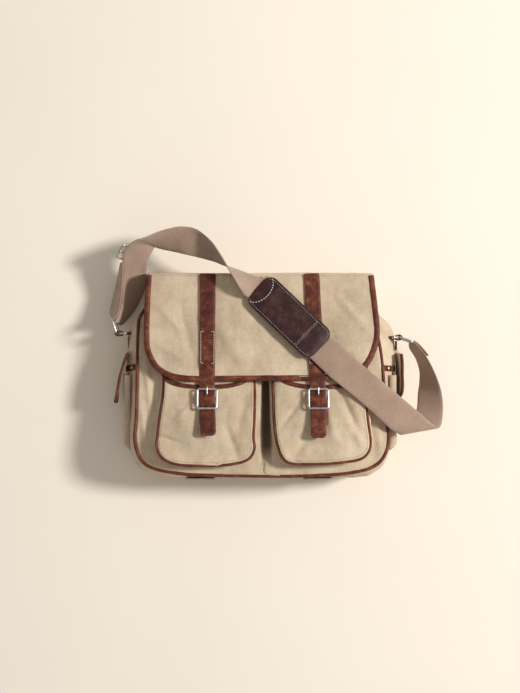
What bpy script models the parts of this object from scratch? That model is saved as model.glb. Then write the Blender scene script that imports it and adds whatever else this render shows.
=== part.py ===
"""Canvas and leather messenger bag, lying on its back. Metres, +Z out of the bag's front.

+Y points to the bag's top edge and +X to its right side, seen from the front. The origin
is the middle of the back panel's outer face, which lies on the surface below.
"""

import math

import bmesh
import bpy
from mathutils import Vector

# The bag's body
HALF_WIDTH = 0.190
# The body's edges from its bottom corners up, as (distance from the middle, Y).
BACK_EDGE = (
    (HALF_WIDTH, 0.060), (0.1865, 0.0715), (0.1785, 0.0805), (0.1720, 0.091), (0.1690, 0.108), (0.1680, 0.148)
)
FRONT_EDGES = {
    "left": (
        (0.1815, -0.060), (0.1800, 0.060), (0.1775, 0.082), (0.1700, 0.096), (0.1630, 0.108), (0.1600, 0.148)
    ),
    "right": (
        (0.1870, -0.080), (0.1810, -0.013), (0.1740, 0.050), (0.1690, 0.075), (0.1630, 0.100), (0.1600, 0.148)
    ),
}
BOTTOM_Y = -0.149
TOP_Y = 0.148
CORNER_RADIUS = 0.048
PANEL_THICK = 0.002
GUSSET_THICK = 0.0025
GUSSET_LEAN_DEPTH = 0.014
PIPING_RADIUS = 0.0025
MIDDLE_DEPTH = 0.0775
DEPTH_SLOPE = 0.1167
GAP = 0.0003

# Front pockets: left edge and width, and how far they stand off the front panel
POCKET_SIDES = {"left": (-0.147, 0.139), "right": (0.020, 0.138)}
POCKET_BOTTOM = -0.127
POCKET_MOUTH = 0.006
POCKET_CORNER = 0.026
POCKET_DEPTH = 0.012
POCKET_WEDGE = 0.0902
POCKET_PIPING = 0.002
POCKET_FLAP_Y = (0.040, -0.016)
POCKET_FLAP_SLOPE = 0.444
POCKET_FLAP_Z = 0.0768
POCKET_FLAP_THICK = 0.0016

# Main flap, hinged half way up the fabric that bridges the bag's top
FLAP_HALF = 0.167
FLAP_TOP = 0.152
FLAP_HEM = -0.003
FLAP_Z = 0.066
FLAP_SLOPE = 0.2194
FLAP_CORNER = 0.05
BINDING_WIDTH = 0.0068
HINGE_Z = 0.038

# Straps and buckles on the flap: centre at the top edge, at the buckle and at the tail
STRAPS = {"left": (-0.0765, -0.0763, -0.0742), "right": (0.0755, 0.0842, 0.0840)}
STRAP_WIDTH = 0.0226
STRAP_THICK = 0.0024
STRAP_LIFT = 0.0018
BUCKLE_Y = -0.033
# Heights over the pocket's front: the strap beside and over the centre bar, the bars and the tab.
STRAP_BESIDE_BAR = 0.0110
STRAP_OVER_BAR = 0.0151
FRAME_LIFT = 0.0153
CENTRE_BAR_LIFT = 0.0135
TAB_LIFT = (0.0080, 0.0104)
PRONG_RISE = 0.0016
PRONG_RADIUS = 0.0011
SNAP_DROP = 0.022
BUCKLE_HALF = (0.0140, 0.0138)
BAR_RADIUS = 0.0016
CENTRE_BAR_RADIUS = 0.0013
TAIL_END = {"left": -0.0836, "right": -0.0866}

# Shoulder strap
WEB_WIDTH = 0.044
WEB_THICK = 0.002
WEB_LIFT = 0.0086
PAD_CENTRE = (0.0422, 0.085)
PAD_DIRECTION = (0.72, -0.694)
PAD_LENGTH = 0.128
PAD_WIDTH = 0.050
MIDDLE_RUN = (-0.09, 0.10)
RING_HALF = 0.024
RING_Z = 0.044
RING_WIRE = 0.0015
RINGS = {
    "left": ((-0.2106, 0.0615), (-0.2174, 0.0811)),
    "right": ((0.2065, 0.0553), (0.2257, 0.0486)),
}

# Side pockets on the gussets, each with its own flap
SIDE_SIGN = {"left": -1, "right": 1}
SIDE_POCKET_Z = (0.016, 0.066)
SIDE_POCKET_Y = (-0.110, 0.000)
SIDE_POCKET_DEPTH = 0.0125
SIDE_WALL = 0.0015
SIDE_HINGE = {"left": (-0.1965, 0.034), "right": (0.2040, 0.032)}
SIDE_FLAP_LENGTH = {"left": 0.078, "right": 0.066}
SIDE_FLAP_ANGLE = {"left": 17.0, "right": 6.0}
SIDE_FLAP_Z = (0.013, 0.069)

COLOURS = {
    "canvas": ((0.50, 0.44, 0.32), 0.92, 0.0),
    "leather": ((0.16, 0.045, 0.022), 0.5, 0.0),
    "pad_leather": ((0.045, 0.014, 0.016), 0.45, 0.0),
    "webbing": ((0.23, 0.17, 0.135), 0.85, 0.0),
    "nickel": ((0.78, 0.77, 0.74), 0.25, 1.0),
}


def clear_scene():
    for obj in list(bpy.data.objects):
        bpy.data.objects.remove(obj, do_unlink=True)


def material(slot):
    found = bpy.data.materials.get(slot)
    if found:
        return found
    colour, roughness, metallic = COLOURS[slot]
    made = bpy.data.materials.new(slot)
    made.use_nodes = True
    shader = made.node_tree.nodes["Principled BSDF"]
    shader.inputs["Base Color"].default_value = (*colour, 1.0)
    shader.inputs["Roughness"].default_value = roughness
    shader.inputs["Metallic"].default_value = metallic
    return made


def add_object(name, data, slot, pivot=(0, 0, 0)):
    """Add an object whose origin is at pivot. Its mesh or curve is given in world space."""
    shift = Vector(pivot)
    if isinstance(data, bpy.types.Mesh):
        for vertex in data.vertices:
            vertex.co -= shift
    else:
        for point in data.splines[0].points:
            point.co = (*(Vector(point.co[:3]) - shift), 1.0)
    data.materials.append(material(slot))
    obj = bpy.data.objects.new(name, data)
    obj.location = shift
    bpy.context.scene.collection.objects.link(obj)
    return obj


def solid_through(name, loops, slot, pivot=(0, 0, 0)):
    """A closed solid through rings of points, each with the same count."""
    work = bmesh.new()
    rings = [[work.verts.new(p) for p in loop] for loop in loops]
    work.faces.new(rings[0])
    work.faces.new(rings[-1])
    for low, high in zip(rings, rings[1:]):
        for i in range(len(low)):
            j = (i + 1) % len(low)
            work.faces.new((low[i], low[j], high[j], high[i]))
    bmesh.ops.recalc_face_normals(work, faces=work.faces)
    mesh = bpy.data.meshes.new(name)
    work.to_mesh(mesh)
    work.free()
    return add_object(name, mesh, slot, pivot)


def solid_between(name, lower, upper, slot, pivot=(0, 0, 0)):
    return solid_through(name, (lower, upper), slot, pivot)


def layer(name, outline, height, offsets, slot, pivot=(0, 0, 0)):
    """A sheet over an outline in X and Y, between two offsets from height(y)."""
    lower = [(x, y, height(y) + offsets[0]) for x, y in outline]
    upper = [(x, y, height(y) + offsets[1]) for x, y in outline]
    return solid_between(name, lower, upper, slot, pivot)


def box(name, low, high, slot, pivot=(0, 0, 0)):
    corners = [(low[0], low[1]), (high[0], low[1]), (high[0], high[1]), (low[0], high[1])]
    return layer(name, corners, lambda y: 0.0, (low[2], high[2]), slot, pivot)


def tube(name, points, radius, slot, closed=False, pivot=(0, 0, 0)):
    curve = bpy.data.curves.new(name, "CURVE")
    curve.dimensions = "3D"
    curve.bevel_depth = radius
    curve.bevel_resolution = 2
    curve.use_fill_caps = True
    spline = curve.splines.new("POLY")
    spline.points.add(len(points) - 1)
    for point, place in zip(spline.points, points):
        point.co = (*place, 1.0)
    spline.use_cyclic_u = closed
    return add_object(name, curve, slot, pivot)


def disc(name, centre, radius, height, axis, slot, pivot=(0, 0, 0)):
    """A short cylinder that starts at centre and runs along axis."""
    direction = Vector(axis).normalized()
    side = direction.orthogonal().normalized()
    other = direction.cross(side)
    count = 20
    ring = []
    for i in range(count):
        angle = math.tau * i / count
        ring.append(Vector(centre) + radius * (math.cos(angle) * side + math.sin(angle) * other))
    made = solid_between(name, ring, [p + direction * height for p in ring], slot, pivot)
    made.data.shade_smooth()
    made.data.set_sharp_from_angle(angle=math.radians(40))
    return made


def cut(obj, cutter):
    """Subtract cutter from obj, and keep the cutter out of the model."""
    cutter.hide_render = True
    cutter.display_type = "WIRE"
    boolean = obj.modifiers.new("cut", "BOOLEAN")
    boolean.operation = "DIFFERENCE"
    boolean.solver = "EXACT"
    boolean.object = cutter


def u_line(left, right, bottom, top, radius, count=8):
    """An open U from the top left corner, round the bottom, to the top right corner."""
    points = [(left, top)]
    for centre_x, start in ((left + radius, 180), (right - radius, 270)):
        for i in range(count + 1):
            angle = math.radians(start + 90 * i / count)
            x = centre_x + radius * math.cos(angle)
            points.append((x, bottom + radius + radius * math.sin(angle)))
    points.append((right, top))
    return points


def inset_u(left, right, bottom, top, radius, inset):
    return u_line(left + inset, right - inset, bottom + inset, top, radius - inset)


def band(outer, inner):
    return outer + inner[::-1]


def body_line(left_edge, right_edge):
    """The body's outline: down its left edge, round the bottom and up its right edge."""
    points = [(-x, y) for x, y in left_edge[::-1]]
    left = CORNER_RADIUS - left_edge[0][0]
    right = right_edge[0][0] - CORNER_RADIUS
    for centre_x, start in ((left, 180), (right, 270)):
        for i in range(9):
            angle = math.radians(start + 90 * i / 8)
            y = BOTTOM_Y + CORNER_RADIUS * (1 + math.sin(angle))
            points.append((centre_x + CORNER_RADIUS * math.cos(angle), y))
    return points + list(right_edge)


def inward(points, inset):
    """A line moved to the left of its direction, by the same distance all along."""
    found = []
    last = len(points) - 1
    for i, place in enumerate(points):
        here = Vector(place)
        before = Vector(points[i - 1]) if i else here * 2 - Vector(points[1])
        after = Vector(points[i + 1]) if i < last else here * 2 - Vector(points[-2])
        one = (here - before).normalized()
        way = (one + (after - here).normalized()).normalized()
        side = Vector((-way.y, way.x))
        stretch = side.dot(Vector((-one.y, one.x)))
        found.append(tuple(here + side * inset / stretch))
    return found


def back_outline(inset):
    return inward(body_line(BACK_EDGE, BACK_EDGE), inset)


def front_outline(inset):
    return inward(body_line(FRONT_EDGES["left"], FRONT_EDGES["right"]), inset)


def front_z(y):
    return MIDDLE_DEPTH - DEPTH_SLOPE * y


def pocket_z(y):
    return front_z(y) + POCKET_DEPTH + POCKET_WEDGE * (POCKET_MOUTH - y)


def pocket_flap_z(y):
    return POCKET_FLAP_Z + POCKET_FLAP_SLOPE * (POCKET_FLAP_Y[0] - y)


def flap_z(y):
    return FLAP_Z + FLAP_SLOPE * (FLAP_TOP - y)


def make_body():
    piping_inset = GUSSET_THICK / 2
    panel_inset = piping_inset + PIPING_RADIUS + GAP
    layer("back_panel", back_outline(panel_inset), lambda y: 0.0, (0.0, PANEL_THICK), "canvas")
    back_z = PIPING_RADIUS + GAP
    low_line = [(x, y, back_z) for x, y in back_outline(piping_inset)]
    tube("back_piping", low_line, PIPING_RADIUS, "leather")
    top_line = [(x, y, front_z(y)) for x, y in front_outline(piping_inset)]
    tube("front_piping", top_line, PIPING_RADIUS, "leather")
    half = PANEL_THICK / 2
    layer("front_panel", front_outline(panel_inset), front_z, (-half, half), "canvas")

    back_wall = band(back_outline(0), back_outline(GUSSET_THICK))
    front_wall = band(front_outline(0), front_outline(GUSSET_THICK))
    low = back_z + PIPING_RADIUS + GAP
    drop = PIPING_RADIUS + 2 * GAP
    loops = (
        [(x, y, low) for x, y in back_wall],
        [(x, y, front_z(y) - GUSSET_LEAN_DEPTH) for x, y in back_wall],
        [(x, y, front_z(y) - drop) for x, y in front_wall],
    )
    solid_through("gusset", loops, "canvas")

    low = (-FLAP_HALF, TOP_Y + GAP, PANEL_THICK)
    high = (FLAP_HALF, TOP_Y + GAP + PANEL_THICK, HINGE_Z - 2 * GAP)
    box("top_bridge", low, high, "canvas")
    for side, centre in (("left", -0.088), ("right", 0.085)):
        low = (centre - 0.021, BOTTOM_Y - 0.0025, 0.018)
        high = (centre + 0.021, BOTTOM_Y - GAP, 0.078)
        box("base_patch_" + side, low, high, "leather")


def make_pocket(side):
    left, width = POCKET_SIDES[side]
    right = left + width
    size = (left, right, POCKET_BOTTOM, POCKET_MOUTH, POCKET_CORNER)
    stand = PANEL_THICK / 2 + GAP
    wall = band(inset_u(*size, 0), inset_u(*size, 0.002))
    lower = [(x, y, front_z(y) + stand) for x, y in wall]
    upper = [(x, y, pocket_z(y) - POCKET_PIPING - 2 * GAP) for x, y in wall]
    solid_between("pocket_wall_" + side, lower, upper, "canvas")
    piping_line = inset_u(*size, 0.001)
    points = [(x, y, pocket_z(y)) for x, y in piping_line]
    tube("pocket_piping_" + side, points, POCKET_PIPING, "leather")
    panel_line = inset_u(*size, 0.001 + POCKET_PIPING + GAP)
    half = PANEL_THICK / 2
    layer("pocket_panel_" + side, panel_line, pocket_z, (-half, half), "canvas")


def make_pocket_flap(side):
    left, width = POCKET_SIDES[side]
    size = (left - 0.001, left + width + 0.001, POCKET_FLAP_Y[1], POCKET_FLAP_Y[0], 0.02)
    pivot = (left + width / 2, POCKET_FLAP_Y[0], POCKET_FLAP_Z)
    half = POCKET_FLAP_THICK / 2
    rim = 0.0055
    edge = band(inset_u(*size, 0), inset_u(*size, rim))
    sheet = inset_u(*size, rim + GAP)
    layer("pocket_flap_binding_" + side, edge, pocket_flap_z, (-half, half + 0.0008), "leather", pivot)
    layer("pocket_flap_" + side, sheet, pocket_flap_z, (-half, half), "canvas", pivot)


def make_flap():
    pivot = (0, FLAP_TOP, HINGE_Z)
    size = (-FLAP_HALF, FLAP_HALF, FLAP_HEM, FLAP_TOP + 0.001, FLAP_CORNER)
    edge = band(inset_u(*size, 0), inset_u(*size, BINDING_WIDTH))
    layer("flap_binding", edge, flap_z, (-0.0015, 0.0015), "leather", pivot)
    sheet = inset_u(*size, BINDING_WIDTH + GAP)
    layer("flap_front", sheet, flap_z, (-0.001, 0.001), "canvas", pivot)
    half_width = FLAP_HALF - BINDING_WIDTH
    low = (-half_width, FLAP_TOP - 0.001, HINGE_Z + GAP)
    high = (half_width, FLAP_TOP + 0.001, FLAP_Z - 0.0016)
    box("flap_top", low, high, "canvas", pivot)


def strap_path(side):
    """The strap's lower face as (y, z), from the flap's top edge to the free end."""
    half = BUCKLE_HALF[1]
    stops = [(FLAP_TOP, flap_z(FLAP_TOP) + STRAP_LIFT), (FLAP_HEM, flap_z(FLAP_HEM) + STRAP_LIFT)]
    lifts = (
        (half + 0.002, STRAP_BESIDE_BAR),
        (half - 0.003, STRAP_BESIDE_BAR),
        (0.002, STRAP_OVER_BAR),
        (-0.002, STRAP_OVER_BAR),
        (0.003 - half, STRAP_BESIDE_BAR),
        (-0.002 - half, STRAP_BESIDE_BAR),
    )
    for offset, lift in lifts:
        y = BUCKLE_Y + offset
        stops.append((y, pocket_z(y) + lift))
    end = TAIL_END[side]
    stops.append((end, pocket_z(end) + STRAP_BESIDE_BAR))
    return stops


def make_strap(side):
    top_x, buckle_x, tail_x = STRAPS[side]
    half = STRAP_WIDTH / 2
    path = strap_path(side)

    def centre(y):
        if y > BUCKLE_Y:
            share = (y - BUCKLE_Y) / (FLAP_TOP - BUCKLE_Y)
            return buckle_x + (top_x - buckle_x) * share
        share = (BUCKLE_Y - y) / (BUCKLE_Y - TAIL_END[side])
        return buckle_x + (tail_x - buckle_x) * share

    profile = path + [(y, z + STRAP_THICK) for y, z in path[::-1]]
    lower = [(centre(y) - half, y, z) for y, z in profile]
    upper = [(centre(y) + half, y, z) for y, z in profile]
    pivot = (0, FLAP_TOP, HINGE_Z)
    strap = solid_between("flap_strap_" + side, lower, upper, "leather", pivot)
    slot_low = (buckle_x - 0.002, BUCKLE_Y - 0.003, 0.09)
    slot_high = (buckle_x + 0.002, BUCKLE_Y + BUCKLE_HALF[1] + 0.003, 0.14)
    cut(strap, box("prong_slot_" + side, slot_low, slot_high, "leather"))


def make_buckle(side):
    x = STRAPS[side][1]
    flap_pivot = (0, FLAP_TOP, HINGE_Z)
    half_x, half_y = BUCKLE_HALF
    corner = 0.003
    points = []
    for sign_x, sign_y, start in ((1, 1, 0), (-1, 1, 90), (-1, -1, 180), (1, -1, 270)):
        for i in range(4):
            angle = math.radians(start + 30 * i)
            px = x + sign_x * (half_x - corner) + corner * math.cos(angle)
            py = BUCKLE_Y + sign_y * (half_y - corner) + corner * math.sin(angle)
            points.append((px, py, pocket_z(py) + FRAME_LIFT))
    name = "buckle_frame_" + side
    tube(name, points, BAR_RADIUS, "nickel", closed=True, pivot=flap_pivot)
    bar_z = pocket_z(BUCKLE_Y) + CENTRE_BAR_LIFT
    reach = half_x - BAR_RADIUS - GAP
    ends = [(x - reach, BUCKLE_Y, bar_z), (x + reach, BUCKLE_Y, bar_z)]
    tube("buckle_bar_" + side, ends, CENTRE_BAR_RADIUS, "nickel", pivot=flap_pivot)

    start_y = BUCKLE_Y + CENTRE_BAR_RADIUS + 0.0015
    top_bar = BUCKLE_Y + half_y
    prong_top = pocket_z(top_bar) + FRAME_LIFT + BAR_RADIUS + PRONG_RISE
    prong = [
        (x, start_y, bar_z + 0.0005),
        (x, top_bar - 0.002, prong_top),
        (x, top_bar + 0.0018, prong_top),
    ]
    tube("buckle_prong_" + side, prong, PRONG_RADIUS, "nickel", pivot=(x, BUCKLE_Y, bar_z))

    low_y = BUCKLE_Y - 0.040
    high_y = BUCKLE_Y + 0.002
    shift = 0.003 if side == "right" else 0.0
    tab = [
        (x - 0.011 + shift, low_y),
        (x + 0.0115 + shift, low_y),
        (x + 0.0115 + shift, high_y),
        (x - 0.011 + shift, high_y),
    ]
    layer("buckle_tab_" + side, tab, pocket_z, TAB_LIFT, "leather", flap_pivot)
    snap_y = BUCKLE_Y - SNAP_DROP
    slope = Vector((0, DEPTH_SLOPE + POCKET_WEDGE, 1)).normalized()
    base = Vector((x, snap_y, pocket_z(snap_y)))
    disc("snap_socket_" + side, base + slope * 0.0014, 0.008, 0.0014, slope, "nickel")
    disc("snap_stud_" + side, base + slope * 0.0031, 0.007, 0.0044, slope, "nickel", flap_pivot)


def smooth(points, steps=4):
    """A Catmull-Rom curve through points of any length, as a list of tuples."""
    ends = [points[0]] + list(points) + [points[-1]]
    found = []
    for a, b, c, d in zip(ends, ends[1:], ends[2:], ends[3:]):
        for i in range(steps):
            t = i / steps
            weights = (
                (-t + 2 * t**2 - t**3) / 2,
                (2 - 5 * t**2 + 3 * t**3) / 2,
                (t + 4 * t**2 - 3 * t**3) / 2,
                (t**3 - t**2) / 2,
            )
            rows = zip(a, b, c, d)
            found.append(tuple(sum(w * v for w, v in zip(weights, row)) for row in rows))
    return found + [tuple(points[-1])]


def ribbon(name, stations, slot, pivot=(0, 0, 0)):
    """Webbing through stations, each a centre and the direction of its width."""
    rows = smooth(stations)
    work = bmesh.new()
    rings = []
    for i, row in enumerate(rows):
        before = Vector(rows[max(i - 1, 0)][:3])
        after = Vector(rows[min(i + 1, len(rows) - 1)][:3])
        travel = (after - before).normalized()
        wide = Vector(row[3:])
        wide = (wide - travel * wide.dot(travel)).normalized() * WEB_WIDTH / 2
        thick = travel.cross(wide).normalized() * WEB_THICK / 2
        centre = Vector(row[:3])
        corners = (wide + thick, thick - wide, -wide - thick, wide - thick)
        rings.append([work.verts.new(centre + corner) for corner in corners])
    work.faces.new(rings[0])
    work.faces.new(rings[-1])
    for one, two in zip(rings, rings[1:]):
        for i in range(4):
            j = (i + 1) % 4
            work.faces.new((one[i], one[j], two[j], two[i]))
    bmesh.ops.recalc_face_normals(work, faces=work.faces)
    mesh = bpy.data.meshes.new(name)
    work.to_mesh(mesh)
    work.free()
    return add_object(name, mesh, slot, pivot)


def run_point(distance, lift=WEB_LIFT):
    """A point on the straight stretch of webbing that lies over the flap."""
    x = PAD_CENTRE[0] + PAD_DIRECTION[0] * distance
    y = PAD_CENTRE[1] + PAD_DIRECTION[1] * distance
    return (x, y, flap_z(y) + lift)


def make_webbing():
    wide = (-PAD_DIRECTION[1], PAD_DIRECTION[0], -FLAP_SLOPE * PAD_DIRECTION[0])
    start, end = MIDDLE_RUN
    pivot = (0, FLAP_TOP, HINGE_Z)
    stations = [(*run_point(start), *wide), (*run_point(end), *wide)]
    ribbon("webbing_middle", stations, "webbing", pivot)
    left = [
        (-0.2190, 0.0855, 0.044, 0.0, 0.0, 1.0),
        (-0.2205, 0.1180, 0.044, 0.0, 0.0, 1.0),
        (-0.2110, 0.1530, 0.048, 0.0, 0.0, 1.0),
        (-0.1940, 0.1840, 0.056, 0.08, -0.05, 0.98),
        (-0.1700, 0.2010, 0.066, 0.4, -0.6, 0.6),
        (-0.1400, 0.2080, 0.073, 0.15, -0.95, 0.1),
        (-0.1100, 0.2060, 0.076, -0.1, -0.98, 0.0),
        (-0.0830, 0.1920, 0.078, -0.4, -0.85, -0.2),
        (-0.0620, 0.1740, 0.080, -0.3, -0.4, -0.85),
        (-0.0430, 0.1620, 0.080, 0.45, 0.2, -0.85),
        (*run_point(start - 0.005), *wide),
    ]
    ribbon("webbing_left", left, "webbing")
    right = [
        (*run_point(end + 0.005), *wide),
        (0.1500, -0.0130, 0.1040, 0.66, 0.75, -0.12),
        (0.1900, -0.0450, 0.0995, 0.66, 0.75, -0.08),
        (0.2230, -0.0720, 0.0850, 0.70, 0.70, -0.1),
        (0.2450, -0.0820, 0.0520, 0.99, 0.12, 0.0),
        (0.2530, -0.0560, 0.0310, 0.97, -0.15, 0.2),
        (0.2560, -0.0200, 0.0310, 0.85, -0.2, 0.5),
        (0.2480, 0.0150, 0.0380, 0.6, -0.1, 0.8),
        (0.2310, 0.0420, 0.0430, 0.15, 0.1, 0.98),
    ]
    ribbon("webbing_right", right, "webbing")


def rounded_bar(length, width, radius, count=5):
    """The outline of a bar with rounded corners, round its middle."""
    points = []
    for sign_a, sign_b, start in ((1, 1, 0), (-1, 1, 90), (-1, -1, 180), (1, -1, 270)):
        for i in range(count):
            angle = math.radians(start + 90 * i / (count - 1))
            a = sign_a * (length / 2 - radius) + radius * math.cos(angle)
            b = sign_b * (width / 2 - radius) + radius * math.sin(angle)
            points.append((a, b))
    return points


def make_pad():
    ahead = Vector(PAD_DIRECTION).normalized()
    aside = Vector((-ahead.y, ahead.x))
    outline = []
    for a, b in rounded_bar(PAD_LENGTH, PAD_WIDTH, 0.018):
        place = Vector(PAD_CENTRE) + ahead * a + aside * b
        outline.append((place.x, place.y))
    pivot = run_point(0.0)
    layer("shoulder_pad_base", outline, flap_z, (0.0054, 0.0073), "pad_leather", pivot)
    layer("shoulder_pad_top", outline, flap_z, (0.0099, 0.0139), "pad_leather", pivot)


def make_ring(side):
    inner, outer = RINGS[side]
    corner = 0.003
    span = math.dist(inner, outer)
    points = []
    for a, b in rounded_bar(span, 2 * RING_HALF, corner, 4):
        share = (a + span / 2) / span
        x = inner[0] + (outer[0] - inner[0]) * share
        y = inner[1] + (outer[1] - inner[1]) * share
        points.append((x, y, RING_Z + b))
    pivot = (*inner, RING_Z)
    tube("ring_" + side, points, RING_WIRE, "nickel", closed=True, pivot=pivot)

    sign = SIDE_SIGN[side]
    wall = sign * (HALF_WIDTH + 2 * GAP)
    tip = inner[0] + sign * 0.004
    low = (min(wall, tip), inner[1] - 0.004, RING_Z - 0.013)
    high = (max(wall, tip), inner[1] + 0.004, RING_Z + 0.013)
    tab = box("ring_tab_" + side, low, high, "leather")
    start = (*inner, RING_Z - 0.02)
    cut(tab, disc("ring_tunnel_" + side, start, RING_WIRE + 0.0006, 0.04, (0, 0, 1), "leather"))
    place = ((wall + inner[0]) / 2 - sign * 0.001, inner[1], RING_Z + 0.013 + GAP)
    disc("tab_rivet_" + side, place, 0.0028, 0.0014, (0, 0, 1), "nickel")


def make_slider():
    """The strap's length slider, beside the webbing above the left ring."""
    middle = Vector((-0.2080, 0.1740, 0.052))
    ahead = Vector((0.477, 0.879, 0.0)).normalized()
    shape = rounded_bar(0.027, 0.049, 0.003, 4)
    points = [tuple(middle + ahead * a + Vector((0, 0, b))) for a, b in shape]
    tube("slider_frame", points, RING_WIRE, "nickel", closed=True, pivot=middle)
    reach = 0.049 / 2 - RING_WIRE - GAP
    ends = [tuple(middle + Vector((0, 0, z))) for z in (-reach, reach)]
    tube("slider_bar", ends, CENTRE_BAR_RADIUS, "nickel", pivot=middle)


def make_side_pocket(side):
    sign = SIDE_SIGN[side]
    near = sign * (HALF_WIDTH + GAP)
    far = sign * (HALF_WIDTH + SIDE_POCKET_DEPTH)
    y0, y1 = SIDE_POCKET_Y
    z0, z1 = SIDE_POCKET_Z
    pocket = box("side_pocket_" + side, (min(near, far), y0, z0), (max(near, far), y1, z1), "canvas")
    inner = far - sign * SIDE_WALL
    hollow_x = (min(near - sign * 0.01, inner), max(near - sign * 0.01, inner))
    low = (hollow_x[0], y0 + SIDE_WALL, z0 + SIDE_WALL)
    high = (hollow_x[1], y1 + 0.01, z1 - SIDE_WALL)
    cut(pocket, box("side_hollow_" + side, low, high, "canvas"))

    band_x = (sign * (HALF_WIDTH + GAP), sign * (HALF_WIDTH + 0.002))
    low = (min(band_x), 0.0045, 0.014)
    high = (max(band_x), 0.0130, 0.068)
    box("side_band_" + side, low, high, "leather")
    place = (sign * (HALF_WIDTH + 0.002 + GAP), 0.00875, 0.052)
    disc("side_snap_" + side, place, 0.0035, 0.0014, (sign, 0, 0), "nickel")

    angle = math.radians(SIDE_FLAP_ANGLE[side])
    down = Vector((sign * math.sin(angle), -math.cos(angle), 0))
    out = Vector((sign * math.cos(angle), math.sin(angle), 0))
    hinge = Vector((*SIDE_HINGE[side], 0))
    length = SIDE_FLAP_LENGTH[side]

    def plate(name, outline, thick, slot):
        lower = [hinge + down * a + Vector((0, 0, b)) - out * thick / 2 for b, a in outline]
        upper = [p + out * thick for p in lower]
        solid_between(name, lower, upper, slot, hinge)

    z0, z1 = SIDE_FLAP_Z
    outer = [(b, -a) for b, a in u_line(z0, z1, -length, 0.0, 0.014)]
    rim = 0.005
    inner = [(b, -a) for b, a in inset_u(z0, z1, -length, 0.0, 0.014, rim)]
    sheet = [(b, -a) for b, a in inset_u(z0, z1, -length, 0.0, 0.014, rim + GAP)]
    plate("side_flap_binding_" + side, band(outer, inner), 0.0026, "leather")
    plate("side_flap_" + side, sheet, 0.0018, "canvas")


def main():
    clear_scene()
    make_body()
    make_flap()
    make_webbing()
    make_pad()
    make_slider()
    for side in ("left", "right"):
        make_pocket(side)
        make_pocket_flap(side)
        make_strap(side)
        make_buckle(side)
        make_ring(side)
        make_side_pocket(side)


main()
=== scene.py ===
"""Looks for the canvas and leather messenger bag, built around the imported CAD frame.

Everything is in metres in the CAD frame: +Z out of the bag's front, +Y to its top edge.
"""

import math
import bpy
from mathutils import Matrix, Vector, noise


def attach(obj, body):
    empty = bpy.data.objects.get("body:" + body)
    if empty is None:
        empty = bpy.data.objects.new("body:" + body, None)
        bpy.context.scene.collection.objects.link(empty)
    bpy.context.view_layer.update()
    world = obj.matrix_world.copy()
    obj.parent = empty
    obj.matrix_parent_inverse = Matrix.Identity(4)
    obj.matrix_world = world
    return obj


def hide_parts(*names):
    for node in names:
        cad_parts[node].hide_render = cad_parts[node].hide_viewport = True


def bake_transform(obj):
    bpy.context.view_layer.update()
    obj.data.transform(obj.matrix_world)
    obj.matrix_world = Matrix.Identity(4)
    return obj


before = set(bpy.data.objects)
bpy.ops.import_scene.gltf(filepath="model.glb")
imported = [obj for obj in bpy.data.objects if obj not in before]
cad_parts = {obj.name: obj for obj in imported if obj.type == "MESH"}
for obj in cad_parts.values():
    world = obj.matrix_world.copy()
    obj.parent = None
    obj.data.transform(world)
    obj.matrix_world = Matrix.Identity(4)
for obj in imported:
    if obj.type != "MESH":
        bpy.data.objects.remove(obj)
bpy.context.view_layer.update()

UP = Vector((0, 0, 1))
SIDES = (("left", -1), ("right", 1))

CANVAS = (0.60, 0.475, 0.335)
CANVAS_DARK = (0.49, 0.385, 0.265)
CANVAS_LIGHT = (0.70, 0.555, 0.385)
LEATHER = (0.098, 0.020, 0.010)
LEATHER_DARK = (0.042, 0.008, 0.006)
LEATHER_WORN = (0.25, 0.080, 0.038)
PAD_LEATHER = (0.038, 0.012, 0.012)
PAD_DARK = (0.020, 0.007, 0.007)
PAD_WORN = (0.080, 0.034, 0.031)
WEBBING = (0.42, 0.290, 0.215)
WEBBING_DARK = (0.34, 0.232, 0.172)
WEBBING_LIGHT = (0.49, 0.350, 0.265)
THREAD = (0.78, 0.72, 0.60)
BACKDROP = (0.85, 0.775, 0.670)

# Painted shade in the narrow channel between the front pockets, darkening the front panel's colour: its
# middle, half width and top, where it ends at the bottom, how far it fades there and at the top, and its
# colour.
GROOVE = (0.0098, 0.0085, 0.01)
GROOVE_BOTTOM = -0.132
GROOVE_FADES = (0.02, 0.03)
GROOVE_SHADE_COLOUR = (0.20, 0.17, 0.14)

KEY_PLACE, KEY_TARGET = (3.1, 0.75, 2.9), (0, 0, 0.03)
KEY_SIZE, KEY_POWER, KEY_COLOUR = 0.80, 182.0, (1.0, 0.985, 0.965)
SKY_COLOUR, SKY_STRENGTH = (1.0, 0.97, 0.93, 1.0), 0.45
CAMERA_PLACE, CAMERA_LENS = (0.0, 0.042, 2.2), 75.4
FLOOR_REACH, FLOOR_Z = 6.0, -0.0004


# ---------------------------------------------------------------- materials


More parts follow.
